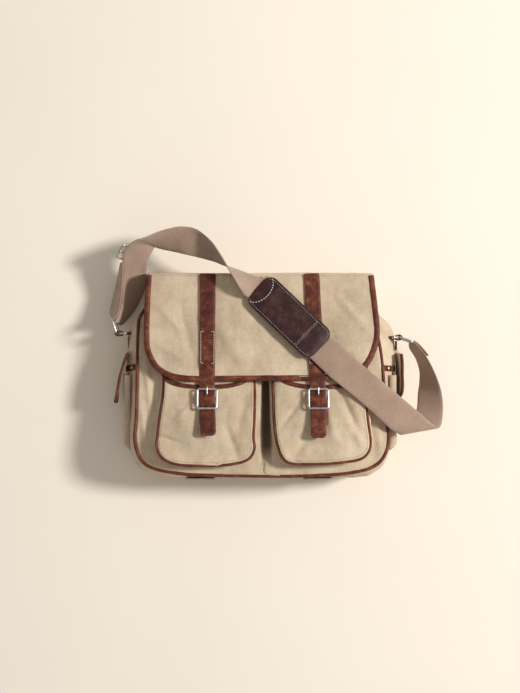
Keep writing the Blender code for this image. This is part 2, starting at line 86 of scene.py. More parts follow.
class Nodes:
    """A material's node tree, with short ways to add nodes to it."""

    def __init__(self, name):
        self.material = bpy.data.materials.new(name)
        self.material.use_nodes = True
        self.tree = self.material.node_tree
        self.shader = self.tree.nodes["Principled BSDF"]
        self.coords = self.add("ShaderNodeTexCoord")

    def add(self, kind, **values):
        node = self.tree.nodes.new(kind)
        for key, value in values.items():
            if hasattr(node, key):
                setattr(node, key, value)
            else:
                node.inputs[key].default_value = value
        return node

    def join(self, output, target):
        self.tree.links.new(output, target)

    def math(self, operation, one, two=None):
        node = self.add("ShaderNodeMath", operation=operation)
        for socket, value in zip(node.inputs, (one, two)):
            if value is None:
                continue
            if isinstance(value, (int, float)):
                socket.default_value = value
            else:
                self.join(value, socket)
        return node.outputs[0]

    def limited(self, value):
        """The value held between 0 and 1."""
        return self.math("MINIMUM", self.math("MAXIMUM", value, 0.0), 1.0)

    def noise(self, scale, detail=4.0, rough=0.55, stretch=(1, 1, 1), vector=None):
        mapping = self.add("ShaderNodeMapping")
        mapping.inputs["Scale"].default_value = stretch
        self.join(vector or self.coords.outputs["Object"], mapping.inputs["Vector"])
        node = self.add("ShaderNodeTexNoise")
        node.inputs["Scale"].default_value = scale
        node.inputs["Detail"].default_value = detail
        node.inputs["Roughness"].default_value = rough
        self.join(mapping.outputs[0], node.inputs["Vector"])
        return node.outputs["Fac"]

    def ramp(self, value, stops):
        node = self.add("ShaderNodeValToRGB")
        elements = node.color_ramp.elements
        while len(elements) < len(stops):
            elements.new(0.5)
        for element, (place, colour) in zip(elements, stops):
            element.position = place
            element.color = (*colour, 1.0)
        self.join(value, node.inputs["Fac"])
        return node.outputs["Color"]

    def mix(self, blend, share, one, two):
        node = self.add("ShaderNodeMix", data_type="RGBA", blend_type=blend)
        for socket, value in ((node.inputs[0], share), (node.inputs[6], one), (node.inputs[7], two)):
            if isinstance(value, (int, float)):
                socket.default_value = value
            elif isinstance(value, tuple):
                socket.default_value = (*value, 1.0)
            else:
                self.join(value, socket)
        return node.outputs[2]

    def bump(self, height, strength, distance, below=None):
        node = self.add("ShaderNodeBump")
        node.inputs["Strength"].default_value = strength
        node.inputs["Distance"].default_value = distance
        self.join(height, node.inputs["Height"])
        if below is not None:
            self.join(below, node.inputs["Normal"])
        return node.outputs["Normal"]

    def grey(self, value, low, high):
        return self.ramp(value, ((0.3, (low,) * 3), (0.7, (high,) * 3)))

    def finish(self, colour=None, roughness=None, normal=None):
        for name, output in (("Base Color", colour), ("Roughness", roughness), ("Normal", normal)):
            if output is not None:
                self.join(output, self.shader.inputs[name])
        return self.material


def groove_shade_share(n, x, y):
    """How much painted shade there is at (x, y): 1 in the channel between the front pockets, 0 beyond it."""
    middle, half, top = GROOVE
    aside = n.math("DIVIDE", n.math("ABSOLUTE", n.math("SUBTRACT", x, middle)), half)
    inside = n.math("SUBTRACT", 1.0, n.math("MINIMUM", n.math("POWER", aside, 4.0), 1.0))
    below = n.limited(n.math("DIVIDE", n.math("SUBTRACT", top, y), GROOVE_FADES[0]))
    bottom = n.limited(n.math("DIVIDE", n.math("ADD", y, -GROOVE_BOTTOM), GROOVE_FADES[1]))
    return n.math("MULTIPLY", inside, n.math("MULTIPLY", below, bottom))


def canvas_material(name, base, dark, light, with_groove_shade=False):
    """Washed cotton canvas: plain weave, slubs, soft blotches and a little fuzz."""
    n = Nodes(name)
    split = n.add("ShaderNodeSeparateXYZ")
    n.join(n.coords.outputs["Object"], split.inputs[0])
    threads = math.tau / 0.0011
    warp = n.math("SINE", n.math("MULTIPLY", split.outputs[0], threads))
    across = n.math("ADD", split.outputs[1], split.outputs[2])
    weft = n.math("SINE", n.math("MULTIPLY", across, threads))
    weave = n.math("MULTIPLY", warp, weft)
    blotch = n.noise(11.0, 5.0, 0.6)
    speckle = n.noise(420.0, 3.0, 0.7)
    slub = n.noise(60.0, 4.0, 0.6, (3.0, 0.8, 0.8))
    cloud = n.noise(26.0, 4.0, 0.65)
    colour = n.ramp(blotch, ((0.30, dark), (0.50, base), (0.72, light)))
    colour = n.mix("SOFT_LIGHT", 0.35, colour, n.grey(slub, 0.36, 0.64))
    colour = n.mix("SOFT_LIGHT", 0.6, colour, n.grey(cloud, 0.30, 0.66))
    colour = n.mix("OVERLAY", 0.35, colour, n.grey(speckle, 0.34, 0.66))
    colour = n.mix("MULTIPLY", 0.22, colour, n.grey(n.math("MULTIPLY_ADD", weave, 0.5), 0.55, 1.0))
    # Painted shade: the channel between the front pockets is darkened in the colour itself, where the
    # pockets' shadow falls.
    if with_groove_shade:
        painted_shade = groove_shade_share(n, split.outputs[0], split.outputs[1])
        colour = n.mix("MULTIPLY", 1.0, colour, n.ramp(painted_shade, ((0.0, (1, 1, 1)), (1.0, GROOVE_SHADE_COLOUR))))
    fuzz = n.bump(speckle, 0.35, 0.0004)
    normal = n.bump(weave, 0.45, 0.00025, n.bump(slub, 0.3, 0.0006, fuzz))
    n.shader.inputs["Roughness"].default_value = 0.93
    n.shader.inputs["Specular IOR Level"].default_value = 0.15
    n.shader.inputs["Sheen Weight"].default_value = 0.25
    n.shader.inputs["Sheen Roughness"].default_value = 0.5
    return n.finish(colour, None, normal)


def leather_material(name, base, dark, worn, grain=900.0, rough=(0.45, 0.70)):
    """Waxed leather: fine pebbled grain, pulled-up light patches, scuffs and dark creases."""
    n = Nodes(name)
    cells = n.add("ShaderNodeTexVoronoi")
    cells.inputs["Scale"].default_value = grain
    n.join(n.coords.outputs["Object"], cells.inputs["Vector"])
    blotch = n.noise(70.0, 6.0, 0.70)
    scuff = n.noise(210.0, 8.0, 0.72, (1.0, 0.45, 1.0))
    fine = n.noise(1500.0, 2.0, 0.6)
    colour = n.ramp(blotch, ((0.34, dark), (0.50, base), (0.70, worn)))
    wear = n.ramp(scuff, ((0.56, (0, 0, 0)), (0.74, (1, 1, 1))))
    colour = n.mix("MIX", n.math("MULTIPLY", wear, 0.45), colour, worn)
    shape = n.add("ShaderNodeNewGeometry")
    edge = n.ramp(shape.outputs["Pointiness"], ((0.51, (0, 0, 0)), (0.60, (1, 1, 1))))
    colour = n.mix("MIX", n.math("MULTIPLY", edge, 0.5), colour, worn)
    colour = n.mix("MULTIPLY", 0.35, colour, n.grey(cells.outputs["Distance"], 0.6, 1.0))
    normal = n.bump(cells.outputs["Distance"], 0.4, 0.0003, n.bump(fine, 0.2, 0.0002))
    normal = n.bump(blotch, 0.25, 0.0012, normal)
    n.shader.inputs["Specular IOR Level"].default_value = 0.28
    return n.finish(colour, n.grey(scuff, *rough), normal)


def webbing_material(name):
    """Cotton webbing with a fine twill, its UV map in metres across and along."""
    n = Nodes(name)
    split = n.add("ShaderNodeSeparateXYZ")
    n.join(n.coords.outputs["UV"], split.inputs[0])
    across = n.math("MULTIPLY", split.outputs[0], math.tau / 0.0016)
    along = n.math("MULTIPLY", split.outputs[1], math.tau / 0.0013)
    twill = n.math("SINE", n.math("ADD", across, along))
    rib = n.math("SINE", n.math("MULTIPLY", split.outputs[0], math.tau / 0.0022))
    streak = n.noise(240.0, 4.0, 0.7, (2.0, 1.0, 1.0), n.coords.outputs["UV"])
    patch = n.noise(16.0, 4.0, 0.6)
    colour = n.ramp(patch, ((0.30, WEBBING_DARK), (0.52, WEBBING), (0.78, WEBBING_LIGHT)))
    colour = n.mix("SOFT_LIGHT", 0.55, colour, n.grey(streak, 0.34, 0.66))
    colour = n.mix("MULTIPLY", 0.28, colour, n.grey(n.math("MULTIPLY_ADD", twill, 0.5), 0.5, 1.0))
    normal = n.bump(twill, 0.5, 0.0003, n.bump(rib, 0.25, 0.0002))
    n.shader.inputs["Roughness"].default_value = 0.88
    n.shader.inputs["Specular IOR Level"].default_value = 0.2
    n.shader.inputs["Sheen Weight"].default_value = 0.2
    return n.finish(colour, None, normal)


def metal_material(name):
    """Polished nickel plate with smudges and hairline scratches."""
    n = Nodes(name)
    smudge = n.noise(140.0, 5.0, 0.6)
    scratch = n.noise(700.0, 3.0, 0.7, (0.2, 3.0, 1.0))
    n.shader.inputs["Metallic"].default_value = 1.0
    colour = n.ramp(smudge, ((0.3, (0.46, 0.45, 0.43)), (0.7, (0.66, 0.65, 0.63))))
    return n.finish(colour, n.grey(smudge, 0.22, 0.42), n.bump(scratch, 0.15, 0.0001))


def thread_material(name, colour):
    """Waxed cotton thread with a twist in it."""
    n = Nodes(name)
    twist = n.noise(1800.0, 2.0, 0.6)
    shade = tuple(0.62 * c for c in colour)
    tone = n.ramp(twist, ((0.35, shade), (0.65, colour)))
    n.shader.inputs["Roughness"].default_value = 0.7
    return n.finish(tone, None, n.bump(twist, 0.5, 0.0002))


def backdrop_material():
    n = Nodes("backdrop")
    patch = n.noise(3.0, 3.0, 0.5)
    pale = tuple(1.03 * c for c in BACKDROP)
    n.shader.inputs["Roughness"].default_value = 0.95
    n.shader.inputs["Specular IOR Level"].default_value = 0.1
    return n.finish(n.ramp(patch, ((0.3, BACKDROP), (0.7, pale))))


MAT = {
    "canvas": canvas_material("bag_canvas", CANVAS, CANVAS_DARK, CANVAS_LIGHT),
    # The front panel's canvas carries painted shade in the channel between its pockets.
    "front": canvas_material("front_canvas", CANVAS, CANVAS_DARK, CANVAS_LIGHT, with_groove_shade=True),
    "lining": canvas_material("bag_lining", CANVAS_DARK, (0.18, 0.15, 0.10), CANVAS),
    "leather": leather_material("bag_leather", LEATHER, LEATHER_DARK, LEATHER_WORN),
    "pad": leather_material("pad_leather", PAD_LEATHER, PAD_DARK, PAD_WORN, 700.0, (0.34, 0.52)),
    "webbing": webbing_material("strap_webbing"),
    "nickel": metal_material("nickel_plate"),
    "thread": thread_material("cream_thread", THREAD),
    "brown_thread": thread_material("brown_thread", (0.20, 0.09, 0.05)),
}


# ---------------------------------------------------------------- mesh tools


def add_piece(name, verts, faces, look, body=None, uvs=None):
    """A new piece from plain lists. body None leaves it without a parent."""
    mesh = bpy.data.meshes.new(name)
    mesh.from_pydata([tuple(v) for v in verts], [], faces)
    if uvs:
        layer = mesh.uv_layers.new(name="UVMap")
        for loop in mesh.loops:
            layer.data[loop.index].uv = uvs[loop.vertex_index]
    mesh.materials.append(MAT[look])
    mesh.shade_smooth()
    mesh.update()
    obj = bpy.data.objects.new(name, mesh)
    bpy.context.scene.collection.objects.link(obj)
    if body:
        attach(obj, body)
    return obj


def grid_faces(rows, cols, wrap=False, start=0):
    faces = []
    for r in range(rows - 1):
        for c in range(cols if wrap else cols - 1):
            d = (c + 1) % cols
            a, b = start + r * cols, start + (r + 1) * cols
            faces.append((a + c, a + d, b + d, b + c))
    return faces


def sheet(name, rows, thick, look, body=None):
    """A sheet of fabric through a grid of points, with a real thickness."""
    verts = [p for row in rows for p in row]
    obj = add_piece(name, verts, grid_faces(len(rows), len(rows[0])), look, body)
    solid = obj.modifiers.new("thickness", "SOLIDIFY")
    solid.thickness = thick
    solid.offset = 0.0
    solid.use_even_offset = True
    return obj


def sweep(name, frames, profile, look, body=None, closed=False):
    """A profile (across, up) carried along frames of (centre, across, up)."""
    verts, uvs, run = [], [], 0.0
    for i, (centre, across, up) in enumerate(frames):
        if i:
            run += (centre - frames[i - 1][0]).length
        for a, b in profile:
            verts.append(centre + across * a + up * b)
            uvs.append((a, run))
    count = len(profile)
    faces = grid_faces(len(frames), count, wrap=True)
    if closed:
        last = (len(frames) - 1) * count
        for c in range(count):
            d = (c + 1) % count
            faces.append((last + c, last + d, d, c))
    else:
        faces.append(tuple(range(count))[::-1])
        faces.append(tuple(range(len(verts) - count, len(verts))))
    obj = add_piece(name, verts, faces, look, body, uvs=uvs)
    fix_normals(obj)
    return obj


def fix_normals(obj):
    """Turn every face outwards, and keep sharp edges sharp."""
    import bmesh

    work = bmesh.new()
    work.from_mesh(obj.data)
    bmesh.ops.recalc_face_normals(work, faces=work.faces)
    work.to_mesh(obj.data)
    work.free()
    obj.data.set_sharp_from_angle(angle=math.radians(50))


def round_profile(radius, count):
    steps = [math.tau * i / count for i in range(count)]
    return [(radius * math.cos(t), radius * math.sin(t)) for t in steps]


def strip_profile(width, thick, cells=6, crown=0.0):
    """The section of a flat strap with rounded edges: top from right to left, then back below."""
    half, lip = width / 2, min(thick * 0.45, width * 0.2)
    inner = half - lip
    xs = [inner - 2 * inner * i / cells for i in range(cells + 1)]
    top = [(x, thick / 2 + crown * (1 - (x / inner) ** 2)) for x in xs]
    low = [(x, -thick / 2) for x in xs[::-1]]
    rise = thick * 0.15
    return top + [(-half, rise), (-half, -rise)] + low + [(half, -rise), (half, rise)]


def spline(points, steps=6):
    """A smooth curve through points, which may carry more than three numbers."""
    ends = [points[0]] + list(points) + [points[-1]]
    found = []
    for a, b, c, d in zip(ends, ends[1:], ends[2:], ends[3:]):
        for i in range(steps):
            t = i / steps
            weights = (
                (-t + 2 * t**2 - t**3) / 2,
                (2 - 5 * t**2 + 3 * t**3) / 2,
                (t + 4 * t**2 - 3 * t**3) / 2,
                (t**3 - t**2) / 2,
            )
            found.append(tuple(sum(w * v for w, v in zip(weights, row)) for row in zip(a, b, c, d)))
    return found + [tuple(points[-1])]


def frames_along(points, wide=None, up=None, closed=False):
    """Frames on a line of points, from each point's across vector, or from an up vector."""
    places = [Vector(p[:3]) for p in points]
    found = []
    for i, place in enumerate(places):
        if closed:
            ahead = places[(i + 1) % len(places)] - places[i - 1]
        else:
            ahead = places[min(i + 1, len(places) - 1)] - places[max(i - 1, 0)]
        ahead.normalize()
        if wide:
            across = Vector(wide[i])
            across = (across - ahead * across.dot(ahead)).normalized()
            found.append((place, across, ahead.cross(across).normalized()))
        else:
            lift = Vector(up[i] if isinstance(up, list) else up)
            across = lift.cross(ahead).normalized()
            found.append((place, across, ahead.cross(across).normalized()))
    return found


def on_surface(line, height, lift):
    """Points and surface normals along a line of (x, y) on height(x, y)."""
    points, normals = [], []
    step = 0.001
    for x, y in line:
        slope_x = (height(x + step, y) - height(x - step, y)) / (2 * step)
        slope_y = (height(x, y + step) - height(x, y - step)) / (2 * step)
        normal = Vector((-slope_x, -slope_y, 1)).normalized()
        points.append(Vector((x, y, height(x, y))) + normal * lift)
        normals.append(normal)
    return points, normals


def stitches(name, points, normals, body, pitch=0.004, length=0.0027, radius=0.00035, look="thread"):
    """A row of thread stitches along a line, as one piece."""
    verts, faces = [], []
    run, goal = 0.0, pitch / 2
    rings = ((-0.5, 0.35), (-0.3, 0.95), (0.3, 0.95), (0.5, 0.35))
    for one, two, normal in zip(points, points[1:], normals):
        span = (two - one).length
        while goal <= run + span and span > 0:
            place = one.lerp(two, (goal - run) / span)
            ahead = (two - one).normalized()
            across = normal.cross(ahead).normalized()
            base = len(verts)
            for share, size in rings:
                for i in range(6):
                    turn = math.tau * i / 6
                    side = across * math.cos(turn) + normal * math.sin(turn)
                    verts.append(place + ahead * share * length + side * radius * size)
            faces += grid_faces(4, 6, wrap=True, start=base)
            faces.append(tuple(range(base, base + 6))[::-1])
            faces.append(tuple(range(base + 18, base + 24)))
            goal += pitch
        run += span
    add_piece(name, verts, faces, look, body)


def wave(x, y, size, seed, stretch=(1.0, 1.0)):
    """Smooth noise from about -1 to 1, with features of the given size."""
    return noise.noise(Vector((x / size * stretch[0], y / size * stretch[1], seed)))


def crease(x, y, start, end, width, height):
    """A rounded fold along a line, which fades at both ends."""
    ax, ay = start
    dx, dy = end[0] - ax, end[1] - ay
    span = math.hypot(dx, dy)
    along = ((x - ax) * dx + (y - ay) * dy) / span**2
    off = ((x - ax) * dy - (y - ay) * dx) / span
    if along <= 0 or along >= 1:
        return 0.0
    return height * math.sin(math.pi * along) ** 0.7 * math.exp(-((off / width) ** 2))


def smoothstep(low, high, value):
    t = min(max((value - low) / (high - low), 0.0), 1.0)
    return t * t * (3 - 2 * t)


# ---------------------------------------------------------------- the bag's shape

HALF_WIDTH = 0.190
BOTTOM_Y = -0.149
TOP_Y = 0.148
FLAP_HALF = 0.167
FLAP_TOP = 0.152
FLAP_SLOPE = 0.2194
FLAP_TILT = Vector((0, FLAP_SLOPE, 1)).normalized()
POCKET_TILT = Vector((0, 0.2069, 1)).normalized()
FLAP_HEM = -0.003
BINDING_WIDTH = 0.0084
PIPING_LUMPS = 0.12
POCKETS = {"left": (-0.147, -0.008), "right": (0.020, 0.158)}
POCKET_BOTTOM = -0.127
POCKET_MOUTH = 0.006
POCKET_FLAP_Y = (0.040, -0.016)
STRAPS = {"left": (-0.0765, -0.0763, -0.0742), "right": (0.0755, 0.0842, 0.0840)}
STRAP_WIDTH = 0.0226
STRAP_THICK = 0.0024
STITCH_TOP, STITCH_LOW, STITCH_RUN = 0.0640, 0.0177, 0.0463
TAIL_END = {"left": -0.0836, "right": -0.0866}
BUCKLE_Y = -0.033
STRAP_HOLES = {"left": (-0.0095,), "right": (-0.0068, -0.0775)}
BUCKLE_HALF = (0.0140, 0.0138)


def front_z(x, y):
    return 0.0775 - 0.1167 * y


def pocket_z(x, y):
    return front_z(x, y) + 0.012 + 0.0902 * (POCKET_MOUTH - y)


def pocket_flap_z(x, y):
    return 0.0768 + 0.444 * (POCKET_FLAP_Y[0] - y)


def flap_z(x, y):
    return 0.066 + FLAP_SLOPE * (FLAP_TOP - y)


def even(stops, step=0.0035):
    """A smooth line through a few (x, y) stops, with its points an even step apart."""
    rows = resample([(x, y, 0.0) for x, y in spline(stops, 8)], step)
    return [(p.x, p.y) for p in rows]


def resample(points, step):
    """The same line with points an even step apart."""
    places = [Vector(p) for p in points]
    found, run, goal = [places[0]], 0.0, step
    for one, two in zip(places, places[1:]):
        span = (two - one).length
        while span > 1e-9 and goal <= run + span:
            found.append(one.lerp(two, (goal - run) / span))
            goal += step
        run += span
    if (found[-1] - places[-1]).length > step * 0.3:
        found.append(places[-1])
    return found


def outward(points):
    """The unit normal in plan at each point of a U, away from its inside."""
    found = []
    for i in range(len(points)):
        ax, ay = points[max(i - 1, 0)]
        bx, by = points[min(i + 1, len(points) - 1)]
        span = math.hypot(bx - ax, by - ay)
        found.append(((by - ay) / span, -(bx - ax) / span))
    return found


def inset_line(points, inset):
    return [(x - nx * inset, y - ny * inset) for (x, y), (nx, ny) in zip(points, outward(points))]


def edge_at(side, y):
    """Where one side of a U is at y. Its points run from the top down."""
    for (ax, ay), (bx, by) in zip(side, side[1:]):
        if by <= y <= ay and ay - by > 1e-9:
            return bx + (ax - bx) * (y - by) / (ay - by)
    return side[0][0] if y > side[0][1] else side[-1][0]


def fill(name, line, height, thick, look, body, cells=(60, 50)):
    """A sheet that fills a U line, on height(x, y)."""
    turn = min(range(len(line)), key=lambda i: line[i][1])
    left, right = line[: turn + 1], line[turn:][::-1]
    bottom, top = line[turn][1], line[0][1]
    rows = []
    for r in range(cells[1] + 1):
        share = r / cells[1]
        y = bottom + 0.00002 + (top - bottom) * (0.3 * share + 0.7 * share**1.8)
        x0, x1 = edge_at(left, y), edge_at(right, y)
        xs = [x0 + (x1 - x0) * c / cells[0] for c in range(cells[0] + 1)]
        rows.append([Vector((x, y, height(x, y))) for x in xs])
    return sheet(name, rows, thick, look, body)


def puff(x, y, size, rise, power=0.5):
    """How far a stuffed panel rises inside its outline."""
    left, right, bottom, top = size
    u = min(max((x - left) / (right - left), 0.0), 1.0)
    v = min(max((y - bottom) / (top - bottom), 0.0), 1.0)
    return rise * (4 * u * (1 - u)) ** power * (math.sin(math.pi * min(v, 0.5))) ** power


def piping(name, line, height, radius, body):
    """Leather piping with small lumps, along a line of (x, y)."""
    points = [Vector((x, y, height(x, y))) for x, y in line]
    frames = frames_along(points, up=UP)
    lumpy = []
    for place, across, lift in frames:
        size = 1 + PIPING_LUMPS * wave(place.x, place.y, 0.006, 3.0)
        lumpy.append((place, across * size, lift * size))
    return sweep(name, lumpy, round_profile(radius, 12), "leather", body)


BODY_SIZE = (-HALF_WIDTH, HALF_WIDTH, BOTTOM_Y, TOP_Y)
BACK_EDGE = [(0.190, -0.094), (0.190, 0.000), (0.190, 0.058), (0.1865, 0.0715), (0.1785, 0.0805),
             (0.1720, 0.0910), (0.1690, 0.1080), (0.1680, 0.1480)]
FRONT_LINE = [
    (-0.160, 0.148), (-0.163, 0.108), (-0.170, 0.096), (-0.1775, 0.082), (-0.179, 0.060), (-0.1795, 0.000),
    (-0.1804, -0.060), (-0.1825, -0.088), (-0.1800, -0.106), (-0.1735, -0.1215), (-0.163, -0.1310),
    (-0.145, -0.1375), (-0.114, -0.1425), (-0.078, -0.1445), (-0.007, -0.1458), (0.048, -0.1460),
    (0.104, -0.1440), (0.132, -0.1410), (0.1560, -0.1360), (0.1715, -0.1280), (0.1803, -0.1172),
    (0.1858, -0.1030), (0.1870, -0.0890), (0.1850, -0.070), (0.1810, -0.013), (0.1780, 0.024),
    (0.1740, 0.050), (0.169, 0.075), (0.163, 0.100), (0.160, 0.148),
]


FRONT_FOLDS = [
    ((-0.168, 0.03), (-0.158, -0.06), 0.005, 0.0030),
    ((-0.175, -0.03), (-0.163, -0.12), 0.004, 0.0022),
    ((0.168, -0.05), (0.176, -0.125), 0.005, 0.0022),
]


def back_stops():
    """The back's outline, as stops from its top left corner round to its top right."""
    reach, low = 0.048, BOTTOM_Y
    turn = [(0.190 - reach * (1 - math.sin(a)), low + reach * (1 - math.cos(a)))
            for a in (math.radians(t) for t in (60, 30, 0))]
    right = [(0.0, low), (0.09, low)] + turn[::-1] + BACK_EDGE
    return [(-x, y) for x, y in right[:0:-1]] + right


def front_shape(x, y):
    rise = puff(x, y, BODY_SIZE, 0.004)
    seam = 0.0018 * math.exp(-(((x - 0.004) / 0.0025) ** 2)) * smoothstep(-0.146, -0.138, y)
    hollow = 0.0110 * math.exp(-(((x - 0.0105) / 0.0085) ** 4)) * smoothstep(-0.128, -0.100, y)
    fold = sum(crease(x, y, *stops) for stops in FRONT_FOLDS)
    rough = 0.0022 * wave(x, y, 0.05, 1.0) + 0.0007 * wave(x, y, 0.014, 2.0)
    return front_z(x, y) + rise - seam - hollow + fold + rough


def make_body():
    back_line = inset_line(even(back_stops()), 0.00125)
    front_line = even(FRONT_LINE)
    back = fill("back_panel", inset_line(back_line, 0.0028), lambda x, y: 0.0010, 0.0016, "canvas", "root")
    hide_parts("back_panel")
    roll = piping("back_piping", back_line, lambda x, y: 0.0028, 0.0025, "root")
    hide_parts("back_piping")
    inner = inset_line(front_line, 0.0022)
    front = fill("front_panel", inner, front_shape, 0.0018, "front", "root", (150, 110))
    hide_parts("front_panel")

    def roll_height(x, y):
        return front_z(x, y) + 0.0014 + 0.0006 * wave(x, y, 0.04, 5.0)

    roll = piping("front_piping", front_line, roll_height, 0.0024, "root")
    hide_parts("front_piping")
    make_gusset()
    for side, _ in SIDES:
        make_base_patch(side)
    seam_line = [(0.004 + 0.0006 * math.sin(i), -0.127 - 0.017 * i / 8) for i in range(9)]
    for shift, name in ((-0.0030, "left"), (0.0030, "right")):
        points, normals = on_surface([(x + shift, y) for x, y in seam_line], front_shape, 0.0011)
        stitches("front_seam_stitches_" + name, points, normals, "root", 0.0032, 0.0024, 0.00026,
                 "brown_thread")


def gusset_bulge(x, y, share):
    """How far the side of the bag bows out, at a share of the way from back to front."""
    side = smoothstep(0.12, 0.180, abs(x))
    amount = 0.0015 + side * (0.0010 + 0.0062 * math.exp(-(((y - 0.035) / 0.045) ** 2)))
    if x > 0:
        amount += side * 0.0020 * math.exp(-(((y - 0.02) / 0.045) ** 2))
    else:
        amount += side * 0.0030 * math.exp(-(((y + 0.07) / 0.05) ** 2))
    swell = math.sin(math.pi * share) ** 0.8
    folds = 0.0014 * wave(x * 1.5 + y, share * 0.05, 0.022, 6.0) * swell
    return amount * swell + folds


# The gusset's points, filled in when it is made, for the bands that lie on it.
GUSSET_ROWS = []


def make_gusset():
    """One strip of canvas round the bag, from the back piping to the front piping, bowed outwards."""
    count = 260
    lines = []
    for stops in (back_stops(), FRONT_LINE):
        fine = even(stops, 0.0010)
        lines.append([fine[round(i * (len(fine) - 1) / count)] for i in range(count + 1)])
    steps = 18
    rows = []
    for (bx, by), (fx, fy), (nx, ny) in zip(lines[0], lines[1], outward(lines[0])):
        row = []
        for i in range(steps + 1):
            share = i / steps
            lean = smoothstep(0.62, 1.0, share)
            x, y = bx + (fx - bx) * lean, by + (fy - by) * lean
            low, high = 0.0048, front_z(x, y) - 0.0020
            push = gusset_bulge(x, y, share) - 0.0010
            row.append(Vector((x + nx * push, y + ny * push, low + (high - low) * share)))
        rows.append(row)
    wall = sheet("gusset", rows, 0.0020, "canvas", "root")
    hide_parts("gusset")
    GUSSET_ROWS.extend(rows)


def gusset_strip(y, sign):
    """The points across the gusset, from back to front, at a height up one side of the bag."""
    return min((row for row in GUSSET_ROWS if row[9].x * sign > 0.15), key=lambda row: abs(row[9].y - y))


def make_base_patch(side):
    """A patch of dark canvas on the bag's bottom face, near one end."""
    centre = {"left": -0.088, "right": 0.085}[side]
    rows = []
    for i in range(13):
        z = 0.018 + 0.060 * i / 12
        row = []
        for j in range(13):
            x = centre - 0.021 + 0.042 * j / 12
            share = (z - 0.0058) / (front_z(0, BOTTOM_Y) - 0.009)
            row.append(Vector((x, BOTTOM_Y - 0.0019 - gusset_bulge(x, BOTTOM_Y, share) * 0.9, z)))
        rows.append(row)
    patch = sheet("base_patch_" + side, rows, 0.0018, "lining", "root")
    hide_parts("base_patch_" + side)


# ---------------------------------------------------------------- front pockets


POCKET_LINES = {
    "left": [
        (-0.1405, 0.006), (-0.1400, -0.010), (-0.1410, -0.031), (-0.1450, -0.059), (-0.1480, -0.087),
        (-0.1492, -0.097), (-0.1465, -0.109), (-0.1395, -0.1190), (-0.1248, -0.1260), (-0.1055, -0.1288),
        (-0.0780, -0.1292), (-0.0506, -0.1280), (-0.0258, -0.1240), (-0.0135, -0.1170), (-0.0080, -0.1046),
        (-0.0094, -0.0896), (-0.0084, -0.066), (-0.0075, -0.031), (-0.0085, 0.006),
    ],
    "right": [
        (0.0190, 0.006), (0.0185, -0.010), (0.0193, -0.031), (0.0200, -0.059), (0.0225, -0.087),
        (0.0260, -0.1035), (0.0315, -0.1165), (0.0400, -0.1242), (0.0549, -0.1268), (0.0896, -0.1262),
        (0.1170, -0.1245), (0.1390, -0.1214), (0.1510, -0.1159), (0.1582, -0.1048), (0.1592, -0.0911),
        (0.1568, -0.073), (0.1546, -0.051), (0.1530, -0.020), (0.1530, 0.006),
    ],
}
POCKET_FOLDS = {
    "left": [
        ((-0.128, -0.070), (-0.088, -0.030), 0.0022, 0.0010),
        ((-0.155, -0.085), (-0.110, -0.098), 0.0035, -0.0022),
        ((-0.034, -0.090), (-0.018, -0.020), 0.0070, -0.0030),
        ((-0.050, -0.070), (-0.030, -0.122), 0.0060, -0.0034),
        ((-0.120, -0.030), (-0.090, -0.115), 0.0100, 0.0022),
    ],
    "right": [
        ((0.112, -0.012), (0.142, -0.085), 0.0060, -0.0050),
        ((0.026, -0.080), (0.060, -0.036), 0.0045, -0.0030),
        ((0.098, -0.040), (0.108, -0.095), 0.0060, 0.0026),
        ((0.046, -0.122), (0.075, -0.076), 0.0070, -0.0024),
        ((0.125, -0.060), (0.150, -0.105), 0.0060, 0.0024),
    ],
}


def pocket_shape(side):
    left, right = POCKETS[side]
    size = (left, right, POCKET_BOTTOM, POCKET_MOUTH)

    def height(x, y):
        z = pocket_z(x, y) + puff(x, y, size, 0.0052)
        z += sum(crease(x, y, *fold) for fold in POCKET_FOLDS[side])
        return z + 0.0018 * wave(x, y, 0.030, 7.0 + left) + 0.0006 * wave(x, y, 0.012, 8.0)

    return height


def make_pocket(side):
    height = pocket_shape(side)
    line = even(POCKET_LINES[side], 0.003)
    inner = inset_line(line, 0.0020)
    panel = fill("pocket_panel_" + side, inner, height, 0.0018, "canvas", "root", (80, 80))
    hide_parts("pocket_panel_" + side)

    def roll_height(x, y):
        return pocket_z(x, y) + 0.0008 * wave(x, y, 0.03, 9.0)

    roll = piping("pocket_piping_" + side, line, roll_height, 0.0021, "root")
    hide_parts("pocket_piping_" + side)

    steps = 12
    rows = []
    for (x, y), (nx, ny) in zip(line, outward(line)):
        low, high = front_shape(x, y) - 0.0005, pocket_z(x, y) - 0.0010
        flank = abs(nx) ** 2
        row = []
        for i in range(steps + 1):
            share = i / steps
            spread = 0.0050 * flank * (1 - share) ** 1.3
            pleat = -0.0022 * flank * math.sin(math.tau * share) * smoothstep(-0.125, -0.08, y)
            pleat += 0.0012 * math.sin(math.pi * share) * wave(x + y * 1.4, y, 0.018, 4.0)
            push = spread + pleat
            row.append(Vector((x + nx * push, y + ny * push, low + (high - low) * share)))
        rows.append(row)
    wall = sheet("pocket_wall_" + side, rows, 0.0016, "canvas", "root")
    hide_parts("pocket_wall_" + side)
    points, normals = on_surface(inset_line(line, 0.0046), height, 0.0010)
    stitches("pocket_stitches_" + side, points, normals, "root", 0.0035, 0.0022, 0.00024, "brown_thread")


